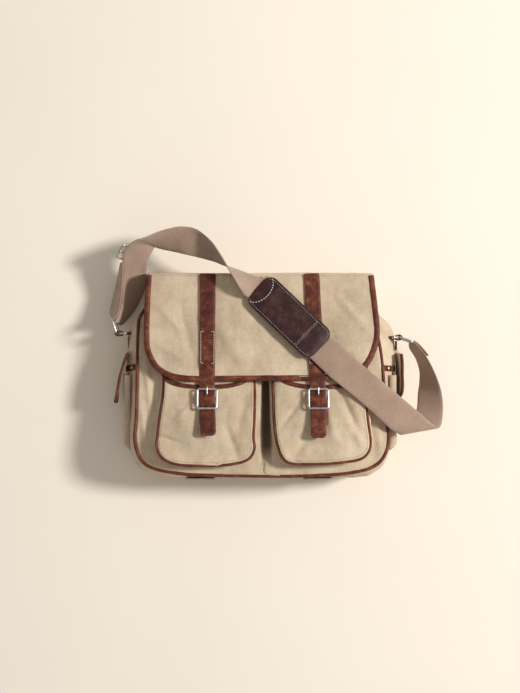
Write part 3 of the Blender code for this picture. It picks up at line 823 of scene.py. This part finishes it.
def make_pocket_flap(side):
    left, right = POCKETS[side]
    body = "pocket_flap_" + side
    middle, half = (left + right) / 2, (right - left) / 2 - 0.001
    shape = [(1.0, 0.040), (1.0, 0.022), (0.985, 0.006), (0.935, -0.0035), (0.80, -0.0115), (0.60, -0.0162),
             (0.35, -0.0190), (0.0, -0.0196)]
    stops = [(middle - half * a, y) for a, y in shape] + [(middle + half * a, y) for a, y in shape[-2::-1]]

    def height(x, y):
        droop = smoothstep(0.022, -0.014, y) * 0.0026
        return pocket_flap_z(x, y) - droop + 0.0006 * wave(x, y, 0.025, 12.0)

    line = even(stops, 0.003)
    panel = fill(body, inset_line(line, 0.003), height, 0.0015, "canvas", body, (56, 26))
    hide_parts(body)
    points, normals = on_surface(inset_line(line, 0.0033), height, 0.0)
    frames = frames_along(points, up=[tuple(n) for n in normals])
    section = strip_profile(0.0070, 0.0034, 6, 0.0004)
    band = sweep("pocket_flap_binding_" + side, frames, section, "leather", body)
    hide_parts("pocket_flap_binding_" + side)
    points, normals = on_surface(inset_line(line, 0.0054), height, 0.0019)
    stitches("pocket_flap_stitches_" + side, points, normals, body, 0.0034, 0.0024, 0.00026, "brown_thread")


# ---------------------------------------------------------------- main flap


FLAP_LINE = [
    (-0.1668, 0.1468), (-0.1685, 0.110), (-0.1690, 0.075), (-0.1680, 0.0431), (-0.1632, 0.0270),
    (-0.1535, 0.0105), (-0.1380, -0.0005), (-0.1185, -0.0065), (-0.0960, -0.0085), (-0.0500, -0.0084),
    (0.0, -0.0078), (0.0500, -0.0076), (0.0850, -0.0074), (0.1150, -0.0055), (0.1380, 0.0010),
    (0.1545, 0.0115), (0.1630, 0.0234), (0.1692, 0.0375), (0.1728, 0.0500), (0.1742, 0.0640),
    (0.1730, 0.0838), (0.1702, 0.1155), (0.1668, 0.1468),
]


# Each fold's start, end, half width and height.
FLAP_FOLDS = [
    ((-0.122, 0.118), (-0.093, 0.008), 0.0065, -0.0026),
    ((-0.060, 0.075), (-0.020, 0.005), 0.009, 0.0020),
    ((-0.158, 0.110), (-0.100, 0.050), 0.006, 0.0020),
    ((-0.155, 0.050), (-0.105, 0.020), 0.005, 0.0016),
    ((0.110, 0.120), (0.160, 0.060), 0.006, 0.0022),
    ((0.100, 0.040), (0.155, 0.028), 0.006, 0.0018),
    ((-0.060, 0.030), (0.050, 0.018), 0.007, 0.0014),
    ((-0.055, 0.120), (-0.050, 0.030), 0.008, 0.0014),
]


def flap_shape(x, y):
    """The flap's soft folds: a wavy hem, drag lines from the straps, and small puckers at its edge."""
    z = flap_z(x, y)
    low = smoothstep(0.060, FLAP_HEM, y)
    z += low * 0.0010 * math.sin(x * 62 + 0.8) + 0.0018 * smoothstep(0.022, -0.004, y)
    rough = 0.0024 * wave(x, y, 0.055, 21.0) + 0.0012 * wave(x, y, 0.024, 22.0)
    z += rough + 0.0003 * wave(x, y, 0.009, 23.0)
    for fold in FLAP_FOLDS:
        z += crease(x, y, *fold)
    return z


def make_flap():
    line = even(FLAP_LINE, 0.003)
    panel = fill("flap_front", inset_line(line, 0.0058), flap_shape, 0.0018, "canvas", "flap", (130, 80))
    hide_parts("flap_front")
    points, normals = on_surface(inset_line(line, 0.0038), flap_shape, 0.0005)
    frames = []
    for place, across, lift in frames_along(points, up=[tuple(n) for n in normals]):
        size = 1 + 0.07 * wave(place.x, place.y, 0.009, 25.0)
        frames.append((place, across * size, lift * size))
    band = sweep("flap_binding", frames, strip_profile(BINDING_WIDTH, 0.0046, 6, 0.0005), "leather", "flap")
    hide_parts("flap_binding")
    points, normals = on_surface(inset_line(line, BINDING_WIDTH - 0.0020), flap_shape, 0.0024)
    stitches("flap_binding_stitches", points, normals, "flap", 0.0036, 0.0026, 0.0003, "brown_thread")
    make_flap_bridge()


def make_flap_bridge():
    """The canvas that runs from the back panel, over the bag's top and on into the flap."""
    profile = spline([(0.1475, 0.0012), (0.1498, 0.0055), (0.1505, 0.0200), (0.1502, 0.0400),
                      (0.1496, 0.0560), (0.1485, 0.0640), (0.1460, 0.0674)], 5)
    rows = []
    for y, z in profile:
        row = []
        for i in range(81):
            x = (FLAP_HALF - 0.001) * (i / 40 - 1)
            ripple = 0.0012 * wave(x, z, 0.030, 31.0) + 0.0005 * wave(x, z, 0.011, 32.0)
            ease = smoothstep(0.002, 0.02, z) * smoothstep(0.0674, 0.058, z)
            row.append(Vector((x, y + ripple * ease, z)))
        rows.append(row)
    bridge = sheet("flap_bridge", rows, 0.0018, "canvas")
    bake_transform(bridge)
    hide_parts("flap_top", "top_bridge")


# ---------------------------------------------------------------- flap straps and buckles


def strap_centre(side, y):
    top_x, buckle_x, tail_x = STRAPS[side]
    if y > BUCKLE_Y:
        return buckle_x + (top_x - buckle_x) * (y - BUCKLE_Y) / (FLAP_TOP - BUCKLE_Y)
    return buckle_x + (tail_x - buckle_x) * (BUCKLE_Y - y) / (BUCKLE_Y - TAIL_END[side])


def strap_line(side):
    """The middle of the strap's thickness, as (y, z), from the flap's top edge to its free end."""
    lift = STRAP_THICK / 2 + 0.0018
    half = BUCKLE_HALF[1]
    stops = []
    for y in (0.1492, 0.130, 0.105, 0.080, 0.055, 0.030, 0.010, FLAP_HEM + 0.001):
        stops.append((y, flap_z(0, y) + lift))
    over = STRAP_THICK / 2
    for offset, rise in ((half + 0.004, 0.0108), (half - 0.003, 0.0110), (0.0022, 0.0151),
                         (-0.0022, 0.0151), (0.0035 - half, 0.0112), (-0.004 - half, 0.0106)):
        y = BUCKLE_Y + offset
        stops.append((y, pocket_z(0, y) + rise + over))
    end = TAIL_END[side]
    for share in (0.4, 0.75, 1.0):
        y = BUCKLE_Y - half - 0.004
        y += (end - y) * share
        stops.append((y, pocket_z(0, y) + 0.0106 + over + 0.0070 * share ** 1.5))
    return spline(stops, 7)


def end_taper(distance, width, corner):
    """The share of the full width at a distance from a rounded end."""
    if distance >= corner:
        return 1.0
    short = corner - max(distance, 0.0)
    return 1 - 2 * (corner - math.sqrt(max(corner**2 - short**2, 0.0))) / width


def make_strap(side):
    name = "flap_strap_" + side
    seed = 41.0 if side == "left" else 47.0
    line = resample([(strap_centre(side, y), y, z) for y, z in strap_line(side)], 0.0022)
    end = line[-1].copy()
    corner = 0.0062
    for share in (0.55, 0.8, 0.93, 1.0):
        line.append(end + Vector((0, -0.0022 * share, 0)))
    tip = line[-1]
    frames = []
    for place, across, lift in frames_along(line, wide=[(1, 0, 0)] * len(line)):
        if lift.z < 0:
            across, lift = -across, -lift
        size = end_taper((place - tip).length, STRAP_WIDTH, corner)
        size *= 1 + 0.012 * wave(place.y, 0, 0.02, seed)
        place = place + Vector((0.0004 * wave(place.y, 0, 0.03, seed + 1), 0, 0))
        frames.append((place, across * size, lift * (0.75 + 0.25 * size)))
    strap = sweep(name, frames, strip_profile(STRAP_WIDTH, STRAP_THICK, 8, 0.0004), "leather", "flap")
    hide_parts(name)

    def top_of(y, shift):
        z = min(line, key=lambda p: abs(p.y - y)).z
        return Vector((strap_centre(side, y) + shift, y, z + STRAP_THICK / 2 + 0.0004))

    edge = STRAP_WIDTH / 2 - 0.0017
    rows = [[top_of(STITCH_TOP - STITCH_RUN * i / 24, sign * edge) for i in range(25)] for sign in (-1, 1)]
    ends = []
    for y in (STITCH_TOP, STITCH_LOW):
        for sign in (-1, 1):
            ends.append([top_of(y, sign * (edge - 0.0042 * i / 4)) for i in range(5)])
    # Each strap hole is a flat dark leather disc on the strap: painted shade where the hole's opening shows
    # dark.
    for i, y in enumerate(STRAP_HOLES[side]):
        place = top_of(y, 0.0) - Vector((0, 0, 0.0002))
        dome(f"{name}_hole_{i}", place, FLAP_TILT, 0.0017, 0.0004, "flap", "pad", False)
    for i, row in enumerate(rows):
        stitches(f"{name}_stitches_{i}", row, [FLAP_TILT] * len(row), "flap", 0.0036, 0.0023, 0.00062)
    for i, row in enumerate(ends):
        stitches(f"{name}_bracket_{i}", row, [FLAP_TILT] * len(row), "flap", 0.0021, 0.0016, 0.00055)


def make_buckle(side):
    x = STRAPS[side][1]
    half_x, half_y = BUCKLE_HALF
    lift, corner = 0.0153, 0.0032
    points = []
    for sign_x, sign_y, start in ((1, 1, 0), (-1, 1, 90), (-1, -1, 180), (1, -1, 270)):
        for i in range(7):
            angle = math.radians(start + 15 * i)
            px = x + sign_x * (half_x - corner) + corner * math.cos(angle)
            py = BUCKLE_Y + sign_y * (half_y - corner) + corner * math.sin(angle)
            points.append(Vector((px, py, pocket_z(px, py) + lift)))
    frames = frames_along(points, up=tuple(POCKET_TILT), closed=True)
    section = [(a * 1.05, b * 0.85) for a, b in round_profile(0.0017, 16)]
    frame_piece = sweep("buckle_frame_" + side, frames, section, "nickel", "flap", closed=True)
    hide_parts("buckle_frame_" + side)

    bar_z = pocket_z(x, BUCKLE_Y) + 0.0135
    reach = half_x - 0.0012
    ends = [Vector((x - reach, BUCKLE_Y, bar_z)), Vector((x + reach, BUCKLE_Y, bar_z))]
    bar = sweep("buckle_bar_" + side, frames_along(ends, up=UP), round_profile(0.0012, 14), "nickel", "flap")
    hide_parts("buckle_bar_" + side)

    top = BUCKLE_Y + half_y
    top_z = pocket_z(x, top) + lift + 0.0031
    stops = [(x, BUCKLE_Y + 0.0030, bar_z + 0.0008), (x, BUCKLE_Y + 0.0075, bar_z + 0.0030),
             (x, top - 0.0020, top_z), (x, top + 0.0016, top_z - 0.0002), (x, top + 0.0030, top_z - 0.0010)]
    line = spline(stops, 5)
    frames = []
    for i, (place, across, up) in enumerate(frames_along(line, up=UP)):
        size = 1.0 if i < len(line) - 4 else (0.95, 0.85, 0.65, 0.35)[i - len(line) + 4]
        frames.append((place, across * size, up * size))
    prong = sweep("buckle_prong_" + side, frames, round_profile(0.0011, 14), "nickel", "prong_" + side)
    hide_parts("buckle_prong_" + side)

    shift = 0.003 if side == "right" else 0.0
    line = []
    for i in range(16):
        y = BUCKLE_Y + 0.002 - 0.042 * i / 15
        line.append(Vector((x + 0.00025 + shift, y, pocket_z(x, y) + 0.0092)))
    tip = line[-1]
    frames = []
    for place, across, up in frames_along(line, up=UP):
        size = end_taper((place - tip).length, 0.0225, 0.006)
        frames.append((place, across * max(size, 0.5), up))
    tab = sweep("buckle_tab_" + side, frames, strip_profile(0.0225, 0.0023, 6), "leather", "flap")
    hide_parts("buckle_tab_" + side)


# ---------------------------------------------------------------- shoulder strap

WEB_WIDTH = 0.044
WEB_THICK = 0.0022
WEB_LIFT = 0.0086
PAD_CENTRE = (0.0422, 0.085)
PAD_DIRECTION = (0.72, -0.694)
PAD_LENGTH = 0.128
PAD_WIDTH = 0.0545
PAD_TOP = 0.0125
PAD_CROWN = 0.0022
# Where the straight run of webbing ends under the pad and past it, from the pad's middle.
PAD_END = -0.062
RUN_END = 0.10
RUN_WIDE = (0.694, 0.72, -FLAP_SLOPE * 0.72)
# The webbing's two edges, as pairs of points along it.
WEB_LEFT_EDGES = [
    ((-0.2178, 0.0806, 0.0640), (-0.2168, 0.0796, 0.0210)),
    ((-0.2120, 0.0800, 0.0600), (-0.2070, 0.0755, 0.0180)),
    ((-0.2054, 0.1031, 0.0490), (-0.1880, 0.0982, 0.0130)),
    ((-0.2041, 0.1326, 0.0450), (-0.1732, 0.1278, 0.0180)),
    ((-0.2035, 0.1560, 0.0540), (-0.1700, 0.1500, 0.0300)),
    ((-0.2013, 0.1794, 0.0680), (-0.1670, 0.1675, 0.0450)),
    ((-0.1932, 0.1898, 0.0770), (-0.1606, 0.1804, 0.0510)),
    ((-0.1825, 0.1967, 0.0820), (-0.1555, 0.1894, 0.0500)),
    ((-0.1706, 0.2002, 0.0840), (-0.1506, 0.1881, 0.0470)),
    ((-0.1532, 0.2076, 0.0830), (-0.1392, 0.1849, 0.0490)),
    ((-0.1359, 0.2137, 0.0800), (-0.1234, 0.1812, 0.0540)),
    ((-0.1155, 0.2175, 0.0780), (-0.1089, 0.1773, 0.0620)),
    ((-0.0935, 0.2137, 0.0800), (-0.0897, 0.1726, 0.0660)),
    ((-0.0726, 0.1967, 0.0920), (-0.0678, 0.1670, 0.0620)),
    ((-0.0579, 0.1759, 0.1000), (-0.0546, 0.1623, 0.0590)),
    ((-0.0470, 0.1569, 0.1040), (-0.0450, 0.1589, 0.0610)),
    ((-0.0376, 0.1411, 0.1020), (-0.0295, 0.1537, 0.0660)),
    ((-0.0290, 0.1262, 0.0970), (-0.0118, 0.1469, 0.0725)),
    ((-0.0226, 0.1170, 0.0900), (0.0015, 0.1427, 0.0745)),
    ((-0.0150, 0.1120, 0.0835), (0.0129, 0.1439, 0.0764)),
]
WEB_RETURN_EDGES = [
    ((-0.2022, 0.1658, 0.0640), (-0.2094, 0.1676, 0.0200)),
    ((-0.2044, 0.1323, 0.0520), (-0.2164, 0.1356, 0.0100)),
    ((-0.2062, 0.1103, 0.0540), (-0.2216, 0.1132, 0.0130)),
    ((-0.2093, 0.0900, 0.0600), (-0.2250, 0.0930, 0.0200)),
    ((-0.2170, 0.0812, 0.0665), (-0.2190, 0.0815, 0.0215)),
]
WEB_RIGHT_EDGES = [
    ((0.1295, 0.0314, 0.1010), (0.0985, 0.0000, 0.1080)),
    ((0.1734, -0.0057, 0.1040), (0.1413, -0.0344, 0.1085)),
    ((0.2097, -0.0361, 0.1020), (0.1733, -0.0627, 0.1060)),
    ((0.2347, -0.0572, 0.0980), (0.1881, -0.0767, 0.1010)),
    ((0.2512, -0.0713, 0.0930), (0.1972, -0.0820, 0.0960)),
    ((0.2598, -0.0762, 0.0860), (0.2052, -0.0858, 0.0890)),
    ((0.2655, -0.0699, 0.0780), (0.2167, -0.0773, 0.0760)),
    ((0.2690, -0.0499, 0.0670), (0.2306, -0.0532, 0.0580)),
    ((0.2676, -0.0308, 0.0670), (0.2346, -0.0286, 0.0430)),
    ((0.2632, -0.0125, 0.0670), (0.2375, -0.0124, 0.0360)),
    ((0.2543, 0.0089, 0.0670), (0.2388, 0.0053, 0.0280)),
    ((0.2439, 0.0280, 0.0660), (0.2336, 0.0240, 0.0250)),
    ((0.2327, 0.0423, 0.0660), (0.2247, 0.0393, 0.0240)),
    ((0.2262, 0.0492, 0.0665), (0.2240, 0.0478, 0.0215)),
]
WEB_RIGHT_END_EDGES = [
    ((0.2270, 0.0502, 0.0665), (0.2250, 0.0490, 0.0215)),
    ((0.2350, 0.0440, 0.0662), (0.2295, 0.0420, 0.0230)),
    ((0.2480, 0.0290, 0.0660), (0.2385, 0.0265, 0.0250)),
]


def run_point(distance, lift=WEB_LIFT):
    """A point on the straight stretch of webbing that lies over the flap."""
    x = PAD_CENTRE[0] + PAD_DIRECTION[0] * distance
    y = PAD_CENTRE[1] + PAD_DIRECTION[1] * distance
    return (x, y, flap_z(x, y) + lift)


def ribbon(name, edges, body=None):
    """Webbing lofted between pairs of edge points."""
    rows = spline([(*a, *b) for a, b in edges], 8)
    pairs = [(Vector(row[:3]), Vector(row[3:])) for row in rows]
    frames = []
    for i, (a, b) in enumerate(pairs):
        before, after = pairs[max(i - 1, 0)], pairs[min(i + 1, len(pairs) - 1)]
        ahead = (after[0] + after[1] - before[0] - before[1]).normalized()
        across = (a - b) / WEB_WIDTH
        frames.append(((a + b) / 2, across, ahead.cross(across).normalized()))
    return sweep(name, frames, strip_profile(WEB_WIDTH, WEB_THICK, 10), "webbing", body)


def run_edges(distance):
    centre, wide = Vector(run_point(distance)), Vector(RUN_WIDE).normalized() * WEB_WIDTH / 2
    return tuple(centre + wide), tuple(centre - wide)


def make_webbing():
    run = [run_edges(place) for place in (PAD_END - 0.004, 0.0, RUN_END)]
    middle = ribbon("webbing_middle", run, "shoulder_strap")
    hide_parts("webbing_middle")
    left = ribbon("webbing_left", WEB_LEFT_EDGES)
    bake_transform(left)
    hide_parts("webbing_left")
    ribbon("webbing_left_return", WEB_RETURN_EDGES, "root")
    right = ribbon("webbing_right", WEB_RIGHT_EDGES)
    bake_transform(right)
    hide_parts("webbing_right")
    ribbon("webbing_right_end", WEB_RIGHT_END_EDGES, "root")


def pad_point(along, aside, lift):
    """A point over the flap, placed along and across the shoulder pad."""
    ahead = Vector(PAD_DIRECTION).normalized()
    x = PAD_CENTRE[0] + ahead.x * along - ahead.y * aside
    y = PAD_CENTRE[1] + ahead.y * along + ahead.x * aside
    return Vector((x, y, flap_z(x, y) + lift))


def pad_half_width(along):
    """Half the pad's width at a distance along it, with its rounded corners."""
    half = PAD_WIDTH / 2
    corner = 0.014
    short = max(abs(along) - (PAD_LENGTH / 2 - corner), 0.0)
    return half - corner + math.sqrt(max(corner**2 - short**2, 0.0))


def make_pad_layer(name, low, high, crown, look):
    """A stuffed leather layer: a closed form, flat below and crowned above."""
    rows_top, rows_low = [], []
    lengths, cells = 64, 26
    for i in range(lengths + 1):
        t = -math.cos(math.pi * i / lengths)
        along = t * PAD_LENGTH / 2 * 0.999
        half = pad_half_width(along)
        top, under = [], []
        for j in range(cells + 1):
            u = -math.cos(math.pi * j / cells)
            edge = (1 - u**6) * (1 - t**10)
            swell = crown * (1 - u * u) ** 0.6 * (1 - t**6)
            rough = 0.0004 * wave(along, u * 0.02, 0.012, 51.0) * edge
            lift = low + (high - low) * max(edge, 0.25) ** 0.35 + swell + rough
            top.append(pad_point(along, u * half, lift))
            under.append(pad_point(along, u * half, low))
        rows_top.append(top)
        rows_low.append(under)
    count = cells + 1
    verts = [p for row in rows_top for p in row] + [p for row in rows_low for p in row]
    size = (lengths + 1) * count
    faces = grid_faces(lengths + 1, count)
    faces += [f[::-1] for f in grid_faces(lengths + 1, count, start=size)]
    for i in range(lengths):
        a, b = i * count, (i + 1) * count
        faces.append((a, b, size + b, size + a))
        c, d = a + cells, b + cells
        faces.append((d, c, size + c, size + d))
    for j in range(cells):
        faces.append((j + 1, j, size + j, size + j + 1))
        a = lengths * count + j
        faces.append((a, a + 1, size + a + 1, size + a))
    pad = add_piece(name, verts, faces, look, "shoulder_pad")
    fix_normals(pad)
    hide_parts(name)


def pad_top(along, aside):
    """The height of the pad's upper face over the flap."""
    u = aside / max(pad_half_width(along), 0.001)
    t = along / (PAD_LENGTH / 2)
    return PAD_TOP + PAD_CROWN * max(1 - u * u, 0.0) ** 0.6 * (1 - t**6)


def make_pad():
    make_pad_layer("shoulder_pad_base", 0.0052, 0.0072, 0.0, "pad")
    make_pad_layer("shoulder_pad_top", 0.0100, PAD_TOP, PAD_CROWN, "pad")

    def row(name, places, **values):
        points = [pad_point(a, b, pad_top(a, b) + 0.0002) for a, b in places]
        stitches(name, points, [FLAP_TILT] * len(points), "shoulder_pad", **values)

    inset = 0.0035
    fine = {"pitch": 0.0034, "length": 0.0020, "radius": 0.00024, "look": "thread"}
    for sign, name in ((-1, "low"), (1, "high")):
        places = [(a * 0.001, sign * (pad_half_width(a * 0.001) - inset)) for a in range(-60, 61, 2)]
        row("pad_edge_stitches_" + name, places, **fine)
    arc = []
    for i in range(25):
        turn = math.radians(-82 + 164 * i / 24)
        arc.append((-0.060 + 0.0160 * math.cos(turn), 0.0238 * math.sin(turn)))
    row("pad_arc_stitches", arc, pitch=0.0042, length=0.0029, radius=0.00062)
    for shift, name in ((0.0, "near"), (0.0022, "far")):
        places = [(0.0335 + shift, -0.023 + 0.046 * i / 20) for i in range(21)]
        row("pad_cross_stitches_" + name, places, **fine)


# ---------------------------------------------------------------- rings and slider

RING_HALF = 0.024
RING_Z = 0.044
RINGS = {
    "left": ((-0.2106, 0.0615), (-0.2174, 0.0811)),
    "right": ((0.2065, 0.0553), (0.2257, 0.0486)),
}


def rounded_rectangle(length, width, corner, count=6):
    points = []
    for sign_a, sign_b, start in ((1, 1, 0), (-1, 1, 90), (-1, -1, 180), (1, -1, 270)):
        for i in range(count):
            angle = math.radians(start + 90 * i / (count - 1))
            a = sign_a * (length / 2 - corner) + corner * math.cos(angle)
            b = sign_b * (width / 2 - corner) + corner * math.sin(angle)
            points.append((a, b))
    return points


def wire_loop(name, points, radius, body):
    normal = (points[1] - points[0]).cross(points[8] - points[1]).normalized()
    loop = sweep(name, frames_along(points, up=tuple(normal), closed=True), round_profile(radius, 14),
                 "nickel", body, closed=True)
    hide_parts(name)


def make_ring(side):
    sign = -1 if side == "left" else 1
    inner, outer = (Vector((*p, RING_Z)) for p in RINGS[side])
    span = (outer - inner).length
    ahead = (outer - inner).normalized()
    middle = (inner + outer) / 2
    shape = rounded_rectangle(span, 2 * RING_HALF, 0.004)
    wire_loop("ring_" + side, [middle + ahead * a + UP * b for a, b in shape], 0.0015, "ring_" + side)

    # A leather loop, folded round the ring's inner bar and sewn to the bag's side.
    wall = sign * (HALF_WIDTH + 0.0008)
    reach = inner.x
    stops = [(wall, inner.y + 0.0013), ((wall + reach) / 2, inner.y + 0.0014), (reach, inner.y + 0.0035),
             (reach + sign * 0.0034, inner.y), (reach, inner.y - 0.0035),
             ((wall + reach) / 2, inner.y - 0.0014), (wall, inner.y - 0.0013)]
    line = [Vector((x, y, RING_Z)) for x, y in spline(stops, 6)]
    frames = frames_along(line, wide=[(0, 0, 1)] * len(line))
    tab = sweep("ring_tab_" + side, frames, strip_profile(0.026, 0.0020, 6), "leather", "root")
    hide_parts("ring_tab_" + side)
    # A flat leather strip on the bag's side, from the tab down to the end pocket's flap.
    hinge_x, hinge_y = SIDE_HINGE[side]
    ends = [Vector((hinge_x - sign * 0.002, y, RING_Z)) for y in (hinge_y + 0.0045, inner.y - 0.0052)]
    ends = [ends[0], (ends[0] + ends[1]) / 2, ends[1]]
    frames = frames_along(ends, wide=[(0, 0, 1)] * len(ends))
    sweep("ring_anchor_" + side, frames, strip_profile(0.022, 0.0012, 4), "leather", "root")
    place = Vector(((wall + reach) / 2 - sign * 0.001, inner.y, RING_Z + 0.0133))
    dome("tab_rivet_" + side, place, UP, 0.0030, 0.0014, "root")


def dome(name, place, axis, radius, height, body, look="nickel", replaces=True):
    """A low domed stud with a flat back."""
    axis = Vector(axis).normalized()
    one = axis.orthogonal().normalized()
    two = axis.cross(one)
    shape = ((0.0, 1.0), (0.25, 1.0), (0.65, 0.86), (0.9, 0.55), (1.0, 0.0))
    verts, count = [], 20
    for rise, size in shape[:-1]:
        for i in range(count):
            turn = math.tau * i / count
            around = one * math.cos(turn) + two * math.sin(turn)
            verts.append(place + axis * height * rise + around * radius * size)
    verts.append(place + axis * height)
    faces = grid_faces(len(shape) - 1, count, wrap=True)
    faces.append(tuple(range(count))[::-1])
    last = (len(shape) - 2) * count
    faces += [(last + i, last + (i + 1) % count, len(verts) - 1) for i in range(count)]
    stud = add_piece(name, verts, faces, look, body)
    fix_normals(stud)
    if replaces:
        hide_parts(name)


def make_slider():
    """The slider: a wire frame a little wider than the webbing and just behind it, and its bar."""
    a, b = (Vector(p) for p in WEB_LEFT_EDGES[5])
    wide = (a - b).normalized()
    travel = (Vector(WEB_LEFT_EDGES[6][0]) - Vector(WEB_LEFT_EDGES[4][0])).normalized()
    travel = (travel - wide * travel.dot(wide)).normalized()
    middle = (a + b) / 2 + wide.cross(travel) * 0.0030 + wide * 0.0042
    shape = rounded_rectangle(0.022, 0.0465, 0.003)
    wire_loop("slider_frame", [middle + travel * p + wide * q for p, q in shape], 0.0015, "slider")
    ends = [middle - wide * 0.0228, middle + wide * 0.0228]
    frames = frames_along(ends, up=tuple(travel))
    bar = sweep("slider_bar", frames, round_profile(0.0013, 14), "nickel", "slider")
    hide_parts("slider_bar")


# ---------------------------------------------------------------- side pockets

SIDE_HINGE = {"left": (-0.1965, 0.034), "right": (0.2040, 0.032)}
SIDE_FLAP_LENGTH = {"left": 0.078, "right": 0.066}
SIDE_FLAP_ANGLE = {"left": 12.5, "right": 1.5}
SIDE_FLAP_ARCH = {"left": 0.0055, "right": 0.0015}
SIDE_FLAP_CURL = {"left": -0.0055, "right": 0.0045}


def make_side_pocket(side, sign):
    """A puffed pocket on the side of the bag, open at its top."""
    y_low, y_high = -0.110, 0.0
    z_low, z_high = 0.016, 0.066
    depth = 0.0118
    rows = []
    for i in range(31):
        share = i / 30
        y = y_low + (y_high - y_low) * share
        close = math.sin(math.pi / 2 * min(share / 0.10, 1.0)) ** 0.6 if share > 0 else 0.05
        row = []
        for j in range(25):
            turn = math.pi * j / 24
            z = (z_low + z_high) / 2 - (z_high - z_low) / 2 * math.cos(turn)
            out = math.sin(turn) ** 0.35 * depth * close if 0 < j < 24 else 0.0
            out += 0.0010 * wave(y, z, 0.02, 61.0) * math.sin(turn)
            row.append(Vector((sign * (HALF_WIDTH + 0.0004 + out), y, z)))
        rows.append(row)
    pocket = sheet("side_pocket_" + side, rows, 0.0015, "canvas", "root")
    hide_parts("side_pocket_" + side)

    row = gusset_strip(0.00875, sign)[3:]
    line = []
    for i, place in enumerate(row):
        before, after = row[max(i - 1, 0)], row[min(i + 1, len(row) - 1)]
        ahead = after - before
        normal = Vector((ahead.z, 0, -ahead.x)).normalized() * sign
        if normal.x * sign < 0:
            normal = -normal
        line.append(place + normal * 0.0021)
    frames = frames_along(line, wide=[(0, sign, 0)] * len(line))
    strip = sweep("side_band_" + side, frames, strip_profile(0.0085, 0.0018, 4), "leather", "root")
    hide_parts("side_band_" + side)
    place = line[-4]
    axis = (line[-3] - line[-5]).cross(Vector((0, -sign, 0))).normalized()
    axis = axis if axis.z > 0 else -axis
    dome("side_snap_" + side, place + axis * 0.0008, axis, 0.0028, 0.0013, "root")


def make_side_flap(side, sign):
    """The pocket's flap: it arches over from the side of the bag, then hangs away from it."""
    body = "side_flap_" + side
    angle = math.radians(SIDE_FLAP_ANGLE[side])
    down = Vector((sign * math.sin(angle), -math.cos(angle), 0))
    out = Vector((sign * math.cos(angle), math.sin(angle), 0))
    hinge = Vector((*SIDE_HINGE[side], 0))
    length = SIDE_FLAP_LENGTH[side]
    half, low = 0.028, -length
    shape = [(1.0, 0.0), (1.0, low + 0.030), (0.985, low + 0.014), (0.86, low + 0.0045), (0.55, low + 0.0006)]
    stops = [(-a, y) for a, y in shape] + [(0.0, low)] + shape[::-1]
    line = even([(0.041 + half * a, y) for a, y in stops], 0.003)

    def height(z, a):
        share = min(max(-a / length, 0.0), 1.0)
        arch = SIDE_FLAP_ARCH[side] * math.sin(math.pi * share) ** 0.6
        curl = max((z - 0.052) / 0.017, 0.0) ** 2 * SIDE_FLAP_CURL[side]
        return arch + curl + 0.0008 * wave(z, a, 0.02, 71.0 + sign)

    def place(point):
        z, a, off = point
        return hinge + down * -a + UP * z + out * off

    def placed(places, lift):
        points, normals = on_surface(places, height, lift)
        return [place(p) for p in points], [place(p + n) - place(p) for p, n in zip(points, normals)]

    panel = fill(body, inset_line(line, 0.003), height, 0.0016, "canvas", body, (18, 26))
    for vertex in panel.data.vertices:
        vertex.co = place(vertex.co)
    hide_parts(body)
    middles, ways = placed(inset_line(line, 0.0024), 0.0)
    frames = frames_along(middles, up=[tuple(w) for w in ways])
    section = strip_profile(0.0056, 0.0032, 4, 0.0002)
    band = sweep("side_flap_binding_" + side, frames, section, "leather", body)
    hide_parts("side_flap_binding_" + side)
    middles, ways = placed(inset_line(line, 0.0044), 0.0018)
    stitches(body + "_stitches", middles, ways, body, 0.0034, 0.0024, 0.00026, "brown_thread")


# ---------------------------------------------------------------- studio


def area_light(name, place, target, size, power, colour):
    data = bpy.data.lights.new(name, "AREA")
    data.shape = "DISK"
    data.size = size
    data.energy = power
    data.color = colour
    lamp = bpy.data.objects.new(name, data)
    lamp.location = place
    lamp.rotation_euler = (Vector(target) - Vector(place)).to_track_quat("-Z", "Y").to_euler()
    bpy.context.scene.collection.objects.link(lamp)


def make_studio():
    mesh = bpy.data.meshes.new("floor")
    corners = [(-1, -1), (1, -1), (1, 1), (-1, 1)]
    mesh.from_pydata([(FLOOR_REACH * x, FLOOR_REACH * y, FLOOR_Z) for x, y in corners], [], [(0, 1, 2, 3)])
    mesh.materials.append(backdrop_material())
    floor = bpy.data.objects.new("floor", mesh)
    bpy.context.scene.collection.objects.link(floor)
    area_light("key", KEY_PLACE, KEY_TARGET, KEY_SIZE, KEY_POWER, KEY_COLOUR)
    world = bpy.data.worlds.new("studio")
    world.use_nodes = True
    background = world.node_tree.nodes["Background"]
    background.inputs["Color"].default_value = SKY_COLOUR
    background.inputs["Strength"].default_value = SKY_STRENGTH
    bpy.context.scene.world = world
    bpy.context.scene.view_settings.view_transform = "Standard"
    camera_data = bpy.data.cameras.new("camera")
    camera_data.lens = CAMERA_LENS
    camera_data.sensor_width = 36.0
    camera = bpy.data.objects.new("camera", camera_data)
    camera.location = CAMERA_PLACE
    bpy.context.scene.collection.objects.link(camera)
    bpy.context.scene.camera = camera


def main():
    make_body()
    make_flap()
    make_webbing()
    make_pad()
    make_slider()
    for side, sign in SIDES:
        make_pocket(side)
        make_pocket_flap(side)
        make_strap(side)
        make_buckle(side)
        make_ring(side)
        make_side_pocket(side, sign)
        make_side_flap(side, sign)
        for name in ("snap_socket_", "snap_stud_"):
            node = bpy.data.objects[name + side]
            node.data.materials.clear()
            node.data.materials.append(MAT["nickel"])
    make_studio()


main()
